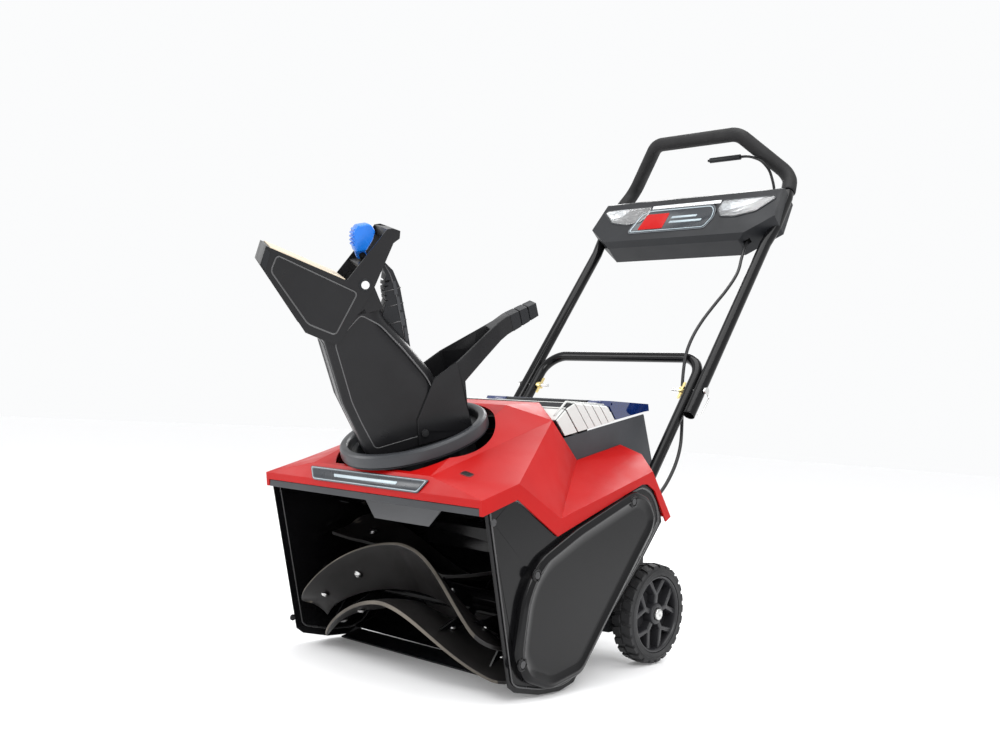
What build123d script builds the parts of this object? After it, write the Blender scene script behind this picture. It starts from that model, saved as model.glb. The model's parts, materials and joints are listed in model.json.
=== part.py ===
from build123d import *
import os
from math import atan2, cos, degrees, hypot, pi, radians, sin, tan

os.makedirs("parts", exist_ok=True)

# A battery snow blower: single-stage auger box, turning chute, faceted hood, folding handle.
# Machine frame, millimetres: X to the operator's left, -Y forward, +Z up, ground at Z = 0.
# Y is laid out from a datum near the intake; every solid is moved back by MID_Y when written,
# so that the origin lies on the ground under the middle of the whole machine.
MID_Y = 284.0

# ---------------------------------------------------------------- driving dimensions
PLATE_IN = 270.0        # inner face of each side plate, half of the inner width
SHEET = 2.0             # pressed steel
SHELL = 3.0             # moulded plastic
HOOD_X = 276.0          # half width of the hood
COVER_X = 287.0         # outer face of the belt cover
GROUND_GAP = 3.0

ROTOR_Y = 30.0          # auger shaft
ROTOR_Z = 135.0
ROTOR_R = 130.0
SCROLL_R = 135.0
SHAFT_R = 12.0
RUN_GAP = 0.05          # running clearance of every shaft in its bore
AUGER_PULLEY_R = 62.0
MOTOR_PULLEY_R = 26.0
MOTOR_Y = 250.0
MOTOR_Z = 268.0

CHUTE_TILT = 23.4       # the chute axis leans forward
CHUTE_TURN = 33.0       # rest position, turned to the operator's right
CHUTE_Y = -44.6
CHUTE_Z = 426.7
RING_R = 136.0
RING_IN = 118.0
RING_LOW = -14.0
RING_TOP = 8.0
HOOD_HOLE_R = 148.0
NECK_R = 103.0
CHUTE_HALF = 56.0       # half width of the chute body
PIVOT_U = 29.0          # deflector pivot, in the chute's own frame
PIVOT_V = 288.0
PIVOT_R = 4.0

AXLE_Y = 400.0
WHEEL_R = 97.0
WHEEL_IN = 206.0
WHEEL_OUT = 254.0
AXLE_R = 7.0

BAY_X = 163.0           # half width of the battery bay

TUBE_R = 12.7           # upper handle tube
LOWER_R = 11.1          # lower handle tube
TUBE_WALL = 1.6
HANDLE_FOOT_Y = 152.0   # where the handle plane meets the ground
HANDLE_RISE = 54.2      # degrees above the horizontal
UPPER_X = 234.0
LOWER_X = 209.5
FOLD_S = 664.0          # fold bolt, measured up the handle plane
CABLE_R = 3.5
FOAM_R = 17.0

# ---------------------------------------------------------------- frames
tilt = radians(CHUTE_TILT)
turn = radians(CHUTE_TURN)
chute_axis = Vector(0, -sin(tilt), cos(tilt))
chute_dir = Vector(-sin(turn), -cos(tilt) * cos(turn), -sin(tilt) * cos(turn))
CHUTE = Plane(origin=(0, CHUTE_Y, CHUTE_Z), x_dir=chute_dir, z_dir=chute_axis)

rise = radians(HANDLE_RISE)
HANDLE = Plane(origin=(0, HANDLE_FOOT_Y, 0), x_dir=(1, 0, 0), z_dir=(0, -sin(rise), cos(rise)))

parts = {}


def add(name, *solids):
    """Keep one named sub-part, made of one or more separate solids."""
    found = []
    for shape in solids:
        found.extend(shape.solids())
    parts[name] = found


# ---------------------------------------------------------------- helpers
def outline(points, radius=0.0):
    if radius:
        return make_face(FilletPolyline(*points, radius=radius, close=True))
    return make_face(Polyline(*points, close=True))


def slab(points, x_low, x_high, radius=0.0):
    """A side outline in Y and Z, from one X to another."""
    return extrude(Plane.YZ.offset(x_low) * outline(points, radius), x_high - x_low)


def rod_x(y, z, radius, x_low, x_high):
    return extrude(Plane.YZ.offset(x_low) * Pos(y, z) * Circle(radius), x_high - x_low)


def block(x_low, x_high, y_low, y_high, z_low, z_high):
    size = (x_high - x_low, y_high - y_low, z_high - z_low)
    middle = ((x_low + x_high) / 2, (y_low + y_high) / 2, (z_low + z_high) / 2)
    return Pos(*middle) * Box(*size)


def profile_uv(points, n_low, n_high, radius=0.0):
    """A chute outline in U and V, from one offset N across the chute to another."""
    face = Plane.XZ * outline(points, radius)
    return Pos(0, n_high, 0) * extrude(face, n_high - n_low)


def rod_n(u, v, radius, n_low, n_high):
    face = Plane.XZ * Pos(u, v) * Circle(radius)
    return Pos(0, n_high, 0) * extrude(face, n_high - n_low)


def tube_along(points, radii, outer, wall=0.0):
    path = FilletPolyline(*points, radius=radii)
    ring = Circle(outer)
    if wall:
        ring = Circle(outer) - Circle(outer - wall)
    return sweep(Plane(origin=path @ 0, z_dir=path % 0) * ring, path=path)


def polyhedron(corners, faces):
    made = [Face(Wire.make_polygon([corners[k] for k in face], close=True)) for face in faces]
    solid = Solid(Shell(made))
    if solid.volume < 0:
        made = [-face for face in made]
        solid = Solid(Shell(made))
    return solid


def on_both_sides(shape):
    return [shape, shape.mirror(Plane.YZ)]


# ---------------------------------------------------------------- side plates and belt cover
PLATE = [(-146, 322), (-63, 29), (-46, 18), (17, 5), (75, GROUND_GAP), (112, 12), (142, 46),
         (177, 84), (295, 201), (364, 280), (350, 318), (326, 345), (290, 358), (40, 284),
         (-68, 342), (-120, 336)]


PLATE_BOLTS = [(-124, 296), (-72, 50), (150, 110), (250, 200)]
COVER_BOLTS = [(-46, 66), (-22, 208), (246, 322)]


def side_plates():
    plate = slab(PLATE, PLATE_IN, PLATE_IN + SHEET)
    hole = rod_x(ROTOR_Y, ROTOR_Z, 20.0, PLATE_IN - 5, PLATE_IN + 5)
    left = plate - hole - rod_x(MOTOR_Y, MOTOR_Z, 14.0, PLATE_IN - 5, PLATE_IN + 5)
    right = (plate - hole).mirror(Plane.YZ)
    for y, z in [PLATE_BOLTS[0]] + COVER_BOLTS:
        left = left - rod_x(y, z, 3.0, PLATE_IN - 5, PLATE_IN + 5)
    for y, z in PLATE_BOLTS:
        right = right - rod_x(y, z, 3.0, -PLATE_IN - 5, -PLATE_IN + 5)
    add("left_side_plate", left)
    add("right_side_plate", right)


COVER = [(-60, 76), (-57, 112), (-50, 168), (-34, 204), (-4, 236), (88, 279), (209, 324),
         (258, 341), (300, 329), (326, 293), (318, 264), (176, 96), (120, 28), (34, 12),
         (-30, 34)]


def shrink(points, middle, by):
    """The same outline, drawn in towards a middle point by a fixed distance."""
    out = []
    for y, z in points:
        reach = hypot(y - middle[0], z - middle[1])
        k = (reach - by) / reach
        out.append((middle[0] + (y - middle[0]) * k, middle[1] + (z - middle[1]) * k))
    return out


def belt_cover():
    inner_face = PLATE_IN + SHEET
    shell = slab(COVER, inner_face, COVER_X, 8.0)
    middle = (120, 180)
    shell = shell - slab(shrink(COVER, middle, 6.0), inner_face, COVER_X - 2.0, 6.0)
    for y, z in COVER_BOLTS:
        shell = shell + rod_x(y, z, 9.0, inner_face, COVER_X - 1.0)
        shell = shell - rod_x(y, z, 3.0, inner_face, COVER_X)
        shell = shell - rod_x(y, z, 6.2, COVER_X - 3.0, COVER_X + 1)
    add("belt_cover", shell)


def housing_bolts():
    made = []
    for y, z in PLATE_BOLTS:
        head = rod_x(y, z, 6.0, PLATE_IN + SHEET, PLATE_IN + SHEET + 3)
        shank = rod_x(y, z, 3.0, PLATE_IN, PLATE_IN + SHEET)
        made.append((head + shank).mirror(Plane.YZ))
    made.append(made[0].mirror(Plane.YZ))
    for y, z in COVER_BOLTS:
        head = rod_x(y, z, 6.0, COVER_X - 3.0, COVER_X)
        shank = rod_x(y, z, 3.0, PLATE_IN, COVER_X - 3.0)
        made.append(head + shank)
    add("housing_bolts", *made)


# ---------------------------------------------------------------- auger box
def scroll_arc(radius, first, last, steps):
    span = last - first
    angles = [radians(first + span * k / steps) for k in range(steps + 1)]
    return [(ROTOR_Y + radius * cos(a), ROTOR_Z + radius * sin(a)) for a in angles]


ROOF = [(-136, 303.8), (-50, 303.8), (10, 276), (120, 276), (148, 245)]
DEFLECTOR_Y = -60.0


def auger_box():
    rear = scroll_arc(SCROLL_R, 30, -62, 14)
    rear_out = scroll_arc(SCROLL_R + SHEET, -62, 30, 14)
    roof_out = [(151, 245), (122, 278), (10, 278), (-50, 305.8), (-136, 305.8)]
    shell = slab(rear_out + roof_out + ROOF + rear, -PLATE_IN, PLATE_IN)
    throat = CHUTE * Pos(0, 0, -100) * Cylinder(NECK_R - SHELL, 200)
    throat = throat & block(-200, 200, DEFLECTOR_Y, 300, 100, 400)
    add("auger_housing", shell - throat)
    neck = Pos(0, 0, -108) * (Cylinder(NECK_R, 184) - Cylinder(NECK_R - SHELL, 184))
    flange = Pos(0, 0, -18) * (Cylinder(130, 4) - Cylinder(NECK_R, 4))
    under = [(-300, 305.8), (-50, 305.8), (10, 278), (122, 278), (300, 278), (300, 0), (-300, 0)]
    add("chute_neck", CHUTE * (neck + flange) - slab(under, -300, 300))
    beam = block(-268, 268, -152, -136, 306, 318) - block(-266, 266, -150, -136, 306, 316)
    add("front_beam", beam)
    plate = [(-106, 303.5), (106, 303.5), (70, 264), (-70, 264)]
    face = Plane.XZ * make_face(Polyline(*plate, close=True))
    add("snow_deflector", Pos(0, DEFLECTOR_Y, 0) * extrude(face, SHEET))
    edge = [(46, 0), (72, 0), (94.6, 12.4), (93.4, 13.6), (44, 3.5)]
    add("scraper", slab(edge, -262, 262))


def bearings():
    bush = rod_x(ROTOR_Y, ROTOR_Z, 20.0, PLATE_IN - 3, PLATE_IN + SHEET + 1.5)
    bush = bush - rod_x(ROTOR_Y, ROTOR_Z, SHAFT_R + RUN_GAP, PLATE_IN - 4, PLATE_IN + 5)
    add("auger_bearings", *on_both_sides(bush))


# ---------------------------------------------------------------- rotor
PADDLE_ANGLES = (44.0, -5.0, 224.0, 175.0)
PADDLE_END = 250.0
PADDLE_THICK = 6.0
PADDLE_SWEEP = 40.0     # the inner edge runs ahead of the outer edge by this much


def paddle_lead(x):
    return 50.0 * (abs(x) / 205.0) ** 1.8


def paddle_edges(x, angle):
    """Inner and outer edge of a paddle, in Y and Z, at one place along the shaft."""
    part = abs(x) / PADDLE_END
    tip = max(0.0, part - 0.84) / 0.16
    r_in = 34.0 + 40.0 * part + 14.0 * tip ** 2
    r_out = ROTOR_R - 26.0 * tip ** 2
    a_out = radians(angle - paddle_lead(x))
    a_in = a_out - radians(PADDLE_SWEEP)
    inner = (ROTOR_Y - r_in * cos(a_in), ROTOR_Z + r_in * sin(a_in))
    outer = (ROTOR_Y - r_out * cos(a_out), ROTOR_Z + r_out * sin(a_out))
    return inner, outer


def paddle_normal(x, angle):
    (y0, z0), (y1, z1) = paddle_edges(x, angle)
    length = hypot(y1 - y0, z1 - z0)
    return (z0 - z1) / length, (y1 - y0) / length


def paddle_solid(angle, steps=16):
    half = PADDLE_THICK / 2
    sections = []
    for k in range(steps + 1):
        x = -PADDLE_END + 2 * PADDLE_END * k / steps
        inner, outer = paddle_edges(x, angle)
        ny, nz = paddle_normal(x, angle)
        corners = []
        for (y, z), side in ((inner, 1), (outer, 1), (outer, -1), (inner, -1)):
            corners.append((y + side * half * ny, z + side * half * nz))
        sections.append(Plane.YZ.offset(x) * make_face(Polyline(*corners, close=True)))
    return loft(sections)


def rotor():
    paddles = [paddle_solid(angle) for angle in PADDLE_ANGLES]
    bolts = []
    arms = []
    for angle in PADDLE_ANGLES:
        for x in (-205.0, -118.0, 118.0, 205.0):
            (y0, z0), (y1, z1) = paddle_edges(x, angle)
            ny, nz = paddle_normal(x, angle)
            ym, zm = y0 + 0.45 * (y1 - y0), z0 + 0.45 * (z1 - z0)
            seat = Plane(origin=(x, ym, zm), z_dir=(0, ny, nz))
            shank = seat * Cylinder(3.0, 20)
            head = seat * Pos(0, 0, 5.5) * Cylinder(7.0, 4)
            bolts.append(shank + head)
            away = 10.0
            ya, za = y0 - away * ny, z0 - away * nz
            yb, zb = y0 + 0.8 * (y1 - y0) - away * ny, z0 + 0.8 * (z1 - z0) - away * nz
            hub = [(ROTOR_Y, ROTOR_Z), (ya, za), (yb, zb)]
            arms.append(slab(hub, x - 2, x + 2))
    core = rod_x(ROTOR_Y, ROTOR_Z, 22.0, -236, 236)
    bore = rod_x(ROTOR_Y, ROTOR_Z, SHAFT_R, -240, 240)
    frame = core
    for arm in arms:
        frame = frame + arm
    frame = frame - bore
    for bolt in bolts:
        frame = frame - bolt
        paddles = [paddle - bolt for paddle in paddles]
    paddles = [paddle - core for paddle in paddles]
    add("rotor_frame", frame)
    add("rubber_paddles", *paddles)
    add("paddle_bolts", *bolts)
    add("auger_shaft", rod_x(ROTOR_Y, ROTOR_Z, SHAFT_R, -PLATE_IN - 6, PLATE_IN + 14))


def grooved_pulley(y, z, radius, bore, x_low, x_high):
    rim = 3.0
    pulley = rod_x(y, z, radius + rim, x_low, x_low + 1.5)
    pulley = pulley + rod_x(y, z, radius, x_low, x_high)
    pulley = pulley + rod_x(y, z, radius + rim, x_high - 1.5, x_high)
    if bore:
        pulley = pulley - rod_x(y, z, bore, x_low, x_high)
    return pulley


def belt_drive():
    x_low, x_high = PLATE_IN + 4.0, PLATE_IN + 13.0
    wheel = grooved_pulley(ROTOR_Y, ROTOR_Z, AUGER_PULLEY_R, SHAFT_R, x_low, x_high)
    add("auger_pulley", wheel)
    small = grooved_pulley(MOTOR_Y, MOTOR_Z, MOTOR_PULLEY_R, 0.0, x_low, x_high)
    add("motor_pulley", small + rod_x(MOTOR_Y, MOTOR_Z, 8.0, 60, x_high))
    reach = hypot(MOTOR_Y - ROTOR_Y, MOTOR_Z - ROTOR_Z)
    slant = atan2(MOTOR_Z - ROTOR_Z, MOTOR_Y - ROTOR_Y)
    lean = atan2(AUGER_PULLEY_R - MOTOR_PULLEY_R, reach)

    def loop(extra):
        def spot(y, z, radius, angle):
            return y + radius * cos(angle), z + radius * sin(angle)
        up, down = slant + pi / 2 - lean, slant - pi / 2 + lean
        big, small_r = AUGER_PULLEY_R + extra, MOTOR_PULLEY_R + extra
        a = spot(ROTOR_Y, ROTOR_Z, big, up)
        b = spot(MOTOR_Y, MOTOR_Z, small_r, up)
        c = spot(MOTOR_Y, MOTOR_Z, small_r, slant)
        d = spot(MOTOR_Y, MOTOR_Z, small_r, down)
        e = spot(ROTOR_Y, ROTOR_Z, big, down)
        f = spot(ROTOR_Y, ROTOR_Z, big, slant + pi)
        arcs = [Line(a, b), ThreePointArc(b, c, d), Line(d, e), ThreePointArc(e, f, a)]
        return make_face(Curve() + arcs)

    band = loop(2.6) - loop(0.4)
    add("drive_belt", extrude(Plane.YZ.offset(x_low + 2.0) * band, 5.0))


# ---------------------------------------------------------------- chassis, motor, drive
def chassis():
    shape = [(178, 110), (178, 262), (210, 300), (398, 300), (436, 262), (436, 62), (330, 58),
             (232, 78)]
    pan = slab(shape, -188, 188)
    pan = pan - slab(shrink(shape, (305, 190), 4.0), -185, 185)
    pan = pan - block(-184, 184, 214, 392, 280, 310)
    pan = pan - rod_x(MOTOR_Y, MOTOR_Z, 12.0, 150, 200)
    pan = pan - rod_x(AXLE_Y, WHEEL_R, 12.0, -200, 200)
    add("chassis_pan", pan)
    motor = rod_x(MOTOR_Y, MOTOR_Z, 46.0, -70, 120) - rod_x(MOTOR_Y, MOTOR_Z, 8.05, 58, 121)
    add("motor_housing", motor)
    for_axle = rod_x(AXLE_Y, WHEEL_R, 18.0, 188, 203)
    web = slab([(384, 150), (416, 150), (416, 110), (384, 110)], 188, 192)
    bracket = for_axle + web - rod_x(AXLE_Y, WHEEL_R, AXLE_R + RUN_GAP, 180, 210)
    add("axle_brackets", *on_both_sides(bracket))


def toothed_disc(radius, teeth, depth):
    """A gear outline with straight-flanked teeth about a pitch circle."""
    points = []
    for k in range(teeth):
        for part, r in ((-0.30, -1), (-0.16, 1), (0.16, 1), (0.30, -1)):
            angle = 2 * pi * (k + part) / teeth
            reach = radius + r * depth / 2
            points.append((reach * cos(angle), reach * sin(angle)))
    return make_face(Polyline(*points, close=True))


AXLE_TEETH = 34
PINION_TEETH = 11
MODULE = 1.2


def gears():
    x_low, x_high = 50.0, 66.0
    r_gear, r_pinion = MODULE * AXLE_TEETH / 2, MODULE * PINION_TEETH / 2
    gap = 1.4
    pinion_z = WHEEL_R + r_gear + r_pinion + gap
    shape = [(370, 68), (370, 168), (386, 184), (412, 184), (426, 168), (426, 68)]
    case = slab(shape, 34, 84) - slab(shrink(shape, (398, 125), 4.5), 38, 80)
    case = case - rod_x(AXLE_Y, WHEEL_R, AXLE_R + RUN_GAP, 30, 90)
    case = case - rod_x(AXLE_Y, pinion_z, 4.0 + RUN_GAP, 30, 90)
    add("gear_case", case)
    wheel = extrude(Plane.YZ.offset(x_low) * Pos(AXLE_Y, WHEEL_R)
                    * toothed_disc(r_gear, AXLE_TEETH, MODULE), x_high - x_low)
    add("axle_gear", wheel - rod_x(AXLE_Y, WHEEL_R, AXLE_R, 40, 80))
    half_pitch = 180.0 / PINION_TEETH
    small = extrude(Plane.YZ.offset(x_low) * Pos(AXLE_Y, pinion_z) * Rot(0, 0, -90 + half_pitch)
                    * toothed_disc(r_pinion, PINION_TEETH, MODULE), x_high - x_low)
    armature = rod_x(AXLE_Y, pinion_z, 17.0, 94, 142)
    add("drive_pinion", small + rod_x(AXLE_Y, pinion_z, 4.0, 28, 96) + armature)


def wheels():
    add("drive_axle", rod_x(AXLE_Y, WHEEL_R, AXLE_R, -WHEEL_OUT, WHEEL_OUT))
    rim = rod_x(AXLE_Y, WHEEL_R, 74, WHEEL_IN + 3, WHEEL_OUT - 2)
    rim = rim - rod_x(AXLE_Y, WHEEL_R, 66, WHEEL_OUT - 14, WHEEL_OUT)
    rim = rim - rod_x(AXLE_Y, WHEEL_R, 66, WHEEL_IN, WHEEL_IN + 16)
    rim = rim + rod_x(AXLE_Y, WHEEL_R, 20, WHEEL_IN + 1, WHEEL_OUT)
    for k in range(5):
        angle = radians(90 + 72 * k)
        y, z = AXLE_Y + 43 * cos(angle), WHEEL_R + 43 * sin(angle)
        spoke = Plane.YZ.offset(WHEEL_IN + 16) * Pos(y, z) * Rot(0, 0, degrees(angle))
        rim = rim + extrude(spoke * Rectangle(48, 14), WHEEL_OUT - WHEEL_IN - 19)
    rim = rim - rod_x(AXLE_Y, WHEEL_R, AXLE_R, WHEEL_IN, WHEEL_OUT + 2)
    add("wheel_rims", *on_both_sides(rim))
    tyre = rod_x(AXLE_Y, WHEEL_R, WHEEL_R, WHEEL_IN, WHEEL_OUT)
    tyre = chamfer(tyre.edges().filter_by(GeomType.CIRCLE), 6.0)
    tyre = tyre - rod_x(AXLE_Y, WHEEL_R, 74, WHEEL_IN - 2, WHEEL_OUT + 2)
    add("tyres", *on_both_sides(tyre))
    cap = rod_x(AXLE_Y, WHEEL_R, 11, WHEEL_OUT, WHEEL_OUT + 3)
    add("hub_caps", *on_both_sides(cap))


# ---------------------------------------------------------------- hood and battery bay
def hood_corners(scale=1.0):
    """Named corners of the faceted hood, drawn in towards a low middle point by the scale."""
    half = {
        "foot": (HOOD_X, -143.8, 255), "lip": (HOOD_X, -156, 331), "brow": (150, -146, 359),
        "front_crease": (HOOD_X, -69, 357), "notch": (HOOD_X, 46, 297), "shoulder": (HOOD_X, 318, 376),
        "tail": (HOOD_X, 389, 289), "heel": (HOOD_X, 389, 255), "peak": (165, 146, 461),
        "bay_low": (165, 227, 389), "bay_back": (165, 408, 430), "crown_front": (95, 95, 484),
        "crown_back": (95, 190, 493),
    }
    middle = (0, 120, 240)
    corners, names = [], {}
    for side, mark in ((1, "+"), (-1, "-")):
        for name, (x, y, z) in half.items():
            names[name + mark] = len(corners)
            moved = [m + (c - m) * scale for c, m in zip((side * x, y, z), middle)]
            corners.append(tuple(moved))
    return corners, names


HOOD_SIDE_FACES = [
    ("foot", "heel", "tail", "shoulder", "notch", "front_crease", "lip"),
    ("brow", "lip", "front_crease"), ("brow", "front_crease", "peak"),
    ("brow", "peak", "crown_front"), ("crown_front", "peak", "crown_back"),
    ("crown_back", "peak", "bay_low"), ("peak", "front_crease", "notch"),
    ("peak", "notch", "bay_low"), ("bay_low", "notch", "shoulder"),
    ("bay_low", "shoulder", "bay_back"), ("bay_back", "shoulder", "tail"),
]
HOOD_CROSS_FACES = [("foot", "lip"), ("lip", "brow"), ("brow", "crown_front"),
                    ("crown_front", "crown_back"), ("crown_back", "bay_low"),
                    ("bay_low", "bay_back"), ("bay_back", "tail"), ("tail", "heel"),
                    ("heel", "foot")]


def hood_block(scale):
    corners, names = hood_corners(scale)
    faces = []
    for mark in "+-":
        for face in HOOD_SIDE_FACES:
            faces.append([names[name + mark] for name in face])
    for a, b in HOOD_CROSS_FACES:
        faces.append([names[a + "+"], names[b + "+"], names[b + "-"], names[a + "-"]])
    return polyhedron(corners, faces)


BAY = [(180, 428), (228, 381), (228, 328), (446, 328), (491, 379), (447, 484)]
LOUVRE = [(158, 460), (186, 433), (346, 467), (320, 493.5), (200, 495)]
HOOD_EDGE = [(-220, 200), (-220, 306), (-152, 306), (-70, 331), (40, 267), (286, 352), (304, 352),
             (328, 340), (373, 280), (389, 289), (460, 289), (460, 200)]


def hood():
    shell = hood_block(1.0) - hood_block(0.988)
    shell = shell - slab(HOOD_EDGE, -300, 300)
    shell = shell - slab(shrink(BAY, (336, 408), -2.0), -BAY_X - 1, BAY_X + 1)
    shell = shell - slab(shrink(LOUVRE, (250, 470), -2.0), -BAY_X - 1, BAY_X + 1)
    shell = shell - slab([(200, 600), (200, 478), (222, 378), (424, 422), (440, 600)], -165, 165)
    shell = shell - block(-268.5, 268.5, -170, -130, 300, 318.5)
    shell = shell - block(-250, 250, 366, 430, 200, 460)
    hole = CHUTE * Cylinder(HOOD_HOLE_R, 260)
    shell = shell - (hole & block(-200, 200, -140, 300, 200, 600))
    shell = max(shell.solids(), key=lambda s: s.volume)
    plate = Plane(origin=(0, -153.8, 341), x_dir=(1, 0, 0), z_dir=(0, -28, 10))
    badge = [(-152, 12.5), (152, 12.5), (134, -12.5), (-134, -12.5)]
    badge_solid = plate * extrude(outline(badge, 3.0), 2.0)
    add("hood", shell - badge_solid)
    add("hood_badge", badge_solid)


def battery_bay():
    tub = slab(BAY, -BAY_X, BAY_X)
    tub = tub - slab(LOUVRE, -BAY_X, BAY_X)
    room = [(184, 470), (184, 429), (233, 383), (233, 333), (444, 333), (486, 380), (441, 520)]
    tub = tub - slab(room, -BAY_X + 4, BAY_X - 4)
    add("battery_bay", tub)
    pack = block(-140, 140, 246, 436, 335, 436)
    pack = pack + block(-60, 60, 300, 316, 436, 446) + block(-60, 60, 380, 396, 436, 446)
    add("battery", pack)


COVER_HINGE_Y = 330.0
COVER_HINGE_Z = 499.0


def louvres():
    shell = slab(LOUVRE, -BAY_X + 1, BAY_X - 1)
    room = [(190, 425), (184, 433.5), (172, 455), (202, 491), (318, 490), (341, 467), (350, 460)]
    shell = shell - slab(room, -BAY_X + 4, BAY_X - 4)
    for k in range(5):
        y = 205 + 24 * k
        slot = block(-150, 150, y, y + 5, 488, 500)
        shell = shell - slot
    shell = shell + rod_x(COVER_HINGE_Y, COVER_HINGE_Z, 5.5, -105, 105)
    shell = shell + block(-105, 105, 312, 330, 487, 497)
    shell = shell - rod_x(COVER_HINGE_Y, COVER_HINGE_Z, 2.5, -110, 110)
    add("louvre_panel", shell)


def battery_cover():
    shape = [(324, 494), (348.5, 469), (447, 489), (463, 491), (459, 505), (330, 505)]
    lid = slab(shape, -BAY_X - 1, BAY_X + 1)
    room = [(340, 460), (330, 500), (452, 501), (456, 480)]
    lid = lid - slab(room, -BAY_X + 3, BAY_X - 3)
    bore = rod_x(COVER_HINGE_Y, COVER_HINGE_Z, 2.5 + RUN_GAP, -200, 200)
    knuckles = rod_x(COVER_HINGE_Y, COVER_HINGE_Z, 5.5, -140, -110)
    knuckles = knuckles + rod_x(COVER_HINGE_Y, COVER_HINGE_Z, 5.5, 110, 140)
    middle = block(-109, 109, 318, 338, 480, 506)
    add("battery_cover", lid - middle + knuckles - bore)
    pin = rod_x(COVER_HINGE_Y, COVER_HINGE_Z, 2.5, -142, 142)
    add("cover_hinge_pin", pin)


# ---------------------------------------------------------------- chute
def chute_parts():
    outer = [(95, -11), (107, 56), (115, 97), (119, 212), (46, 268), (10, 268), (8, 222),
             (-21, 167), (-50, 108), (-62, 60), (-84, -11)]
    inner = [(90, -12), (103, 56), (112, 97), (116, 220), (60, 290), (-2, 290), (12, 218),
             (-17, 165), (-46, 106), (-58, 60), (-79, -12)]
    body = profile_uv(outer, -CHUTE_HALF, CHUTE_HALF)
    body = body - profile_uv(inner, -CHUTE_HALF + SHELL, CHUTE_HALF - SHELL)
    for low, high in ((CHUTE_HALF - SHELL, CHUTE_HALF), (-CHUTE_HALF, -CHUTE_HALF + SHELL)):
        ear = profile_uv([(46, 262), (44, 298), (16, 298), (10, 262)], low, high, 6.0)
        body = body + ear
    body = body - rod_n(PIVOT_U, PIVOT_V, PIVOT_R + RUN_GAP, -80, 80)
    body = body - rod_n(-10, 10, 3.0, -80, 80)
    add("chute_body", CHUTE * body)

    height = RING_TOP - RING_LOW
    ring = Pos(0, 0, RING_LOW + height / 2) * (Cylinder(RING_R, height) - Cylinder(RING_IN, height))
    floor = Pos(0, 0, RING_LOW + 1.5) * Cylinder(RING_IN, 3)
    mouth = profile_uv([(90, -20), (90, 5), (-79, 5), (-79, -20)], -CHUTE_HALF + 3, CHUTE_HALF - 3)
    add("chute_ring", CHUTE * (ring + (floor - mouth)))


LEVER_SIDE = [(-2, 36), (6, -11), (-95, -11), (-95, 33), (-102, 78), (-204, 129), (-268, 148),
              (-268, 172), (-211, 162), (-158, 142), (-48, 100)]
LEVER_PLAN = [(10, 60), (-93, 60), (-150, 34), (-190, 18), (-270, 18),
              (-270, -18), (-190, -18), (-150, -34), (-93, -60), (10, -60)]


def lever_parts():
    side = profile_uv(LEVER_SIDE, -70, 70)
    plan = Pos(0, 0, -20) * extrude(make_face(Polyline(*LEVER_PLAN, close=True)), 220)
    solid = side & plan
    room_plan = [(20, 56.5), (-91, 56.5), (-150, 30), (-176, 16), (-176, -16), (-150, -30),
                 (-91, -56.5), (20, -56.5)]
    room = Pos(0, 0, -20) * extrude(make_face(Polyline(*room_plan, close=True)), 260)
    room_side = [(20, -20), (-91, -20), (-91, 33), (-98, 82), (-176, 122), (-176, 220), (20, 220)]
    lever = solid - (room & profile_uv(room_side, -70, 70))
    grip_zone = profile_uv([(-216, 100), (-216, 200), (-300, 200), (-300, 100)], -40, 40)
    grip = lever & grip_zone
    lever = lever - grip_zone
    lever = lever - rod_n(-10, 10, 3.0, -80, 80)
    add("chute_lever", CHUTE * lever)
    for k in range(1, 3):
        u = -216 - 17 * k
        groove = profile_uv([(u, 100), (u, 200), (u - 2, 200), (u - 2, 100)], -40, 40)
        core = profile_uv([(u + 5, 134), (u - 6, 138), (u - 6, 164), (u + 5, 160)], -15, 15)
        grip = grip - (groove - core)
    add("lever_grip", CHUTE * grip)
    bolts = []
    for side_n in (1, -1):
        low, high = sorted((side_n * (CHUTE_HALF - 3), side_n * 60.0))
        shank = rod_n(-10, 10, 3.0, low, high)
        low, high = sorted((side_n * 60.0, side_n * 63.5))
        bolts.append(CHUTE * (shank + rod_n(-10, 10, 6.5, low, high)))
    add("chute_bolts", *bolts)
    rack = [(-27, 156), (-31, 205), (-34, 262), (-29, 294), (-18, 312), (-12, 306), (-15, 290),
            (-7, 270), (-4, 244), (8, 222), (-21, 167)]
    plate = profile_uv(rack, -20, 20)
    for k in range(5):
        v = 243 + 8 * k
        u = -4 - 0.012 * (v - 243) ** 2
        plate = plate - profile_uv([(u + 6, v), (u - 4, v + 3), (u + 6, v + 6)], -22, 22)
    add("tilt_rack", CHUTE * plate)


DEFLECTOR_CHEEK = [(170, 390), (187, 363), (145, 236), (121, 217), (98, 201), (18, 276),
                   (-34, 344), (-46, 349), (-50, 361), (-39, 368), (-29, 369), (57, 303)]


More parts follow.
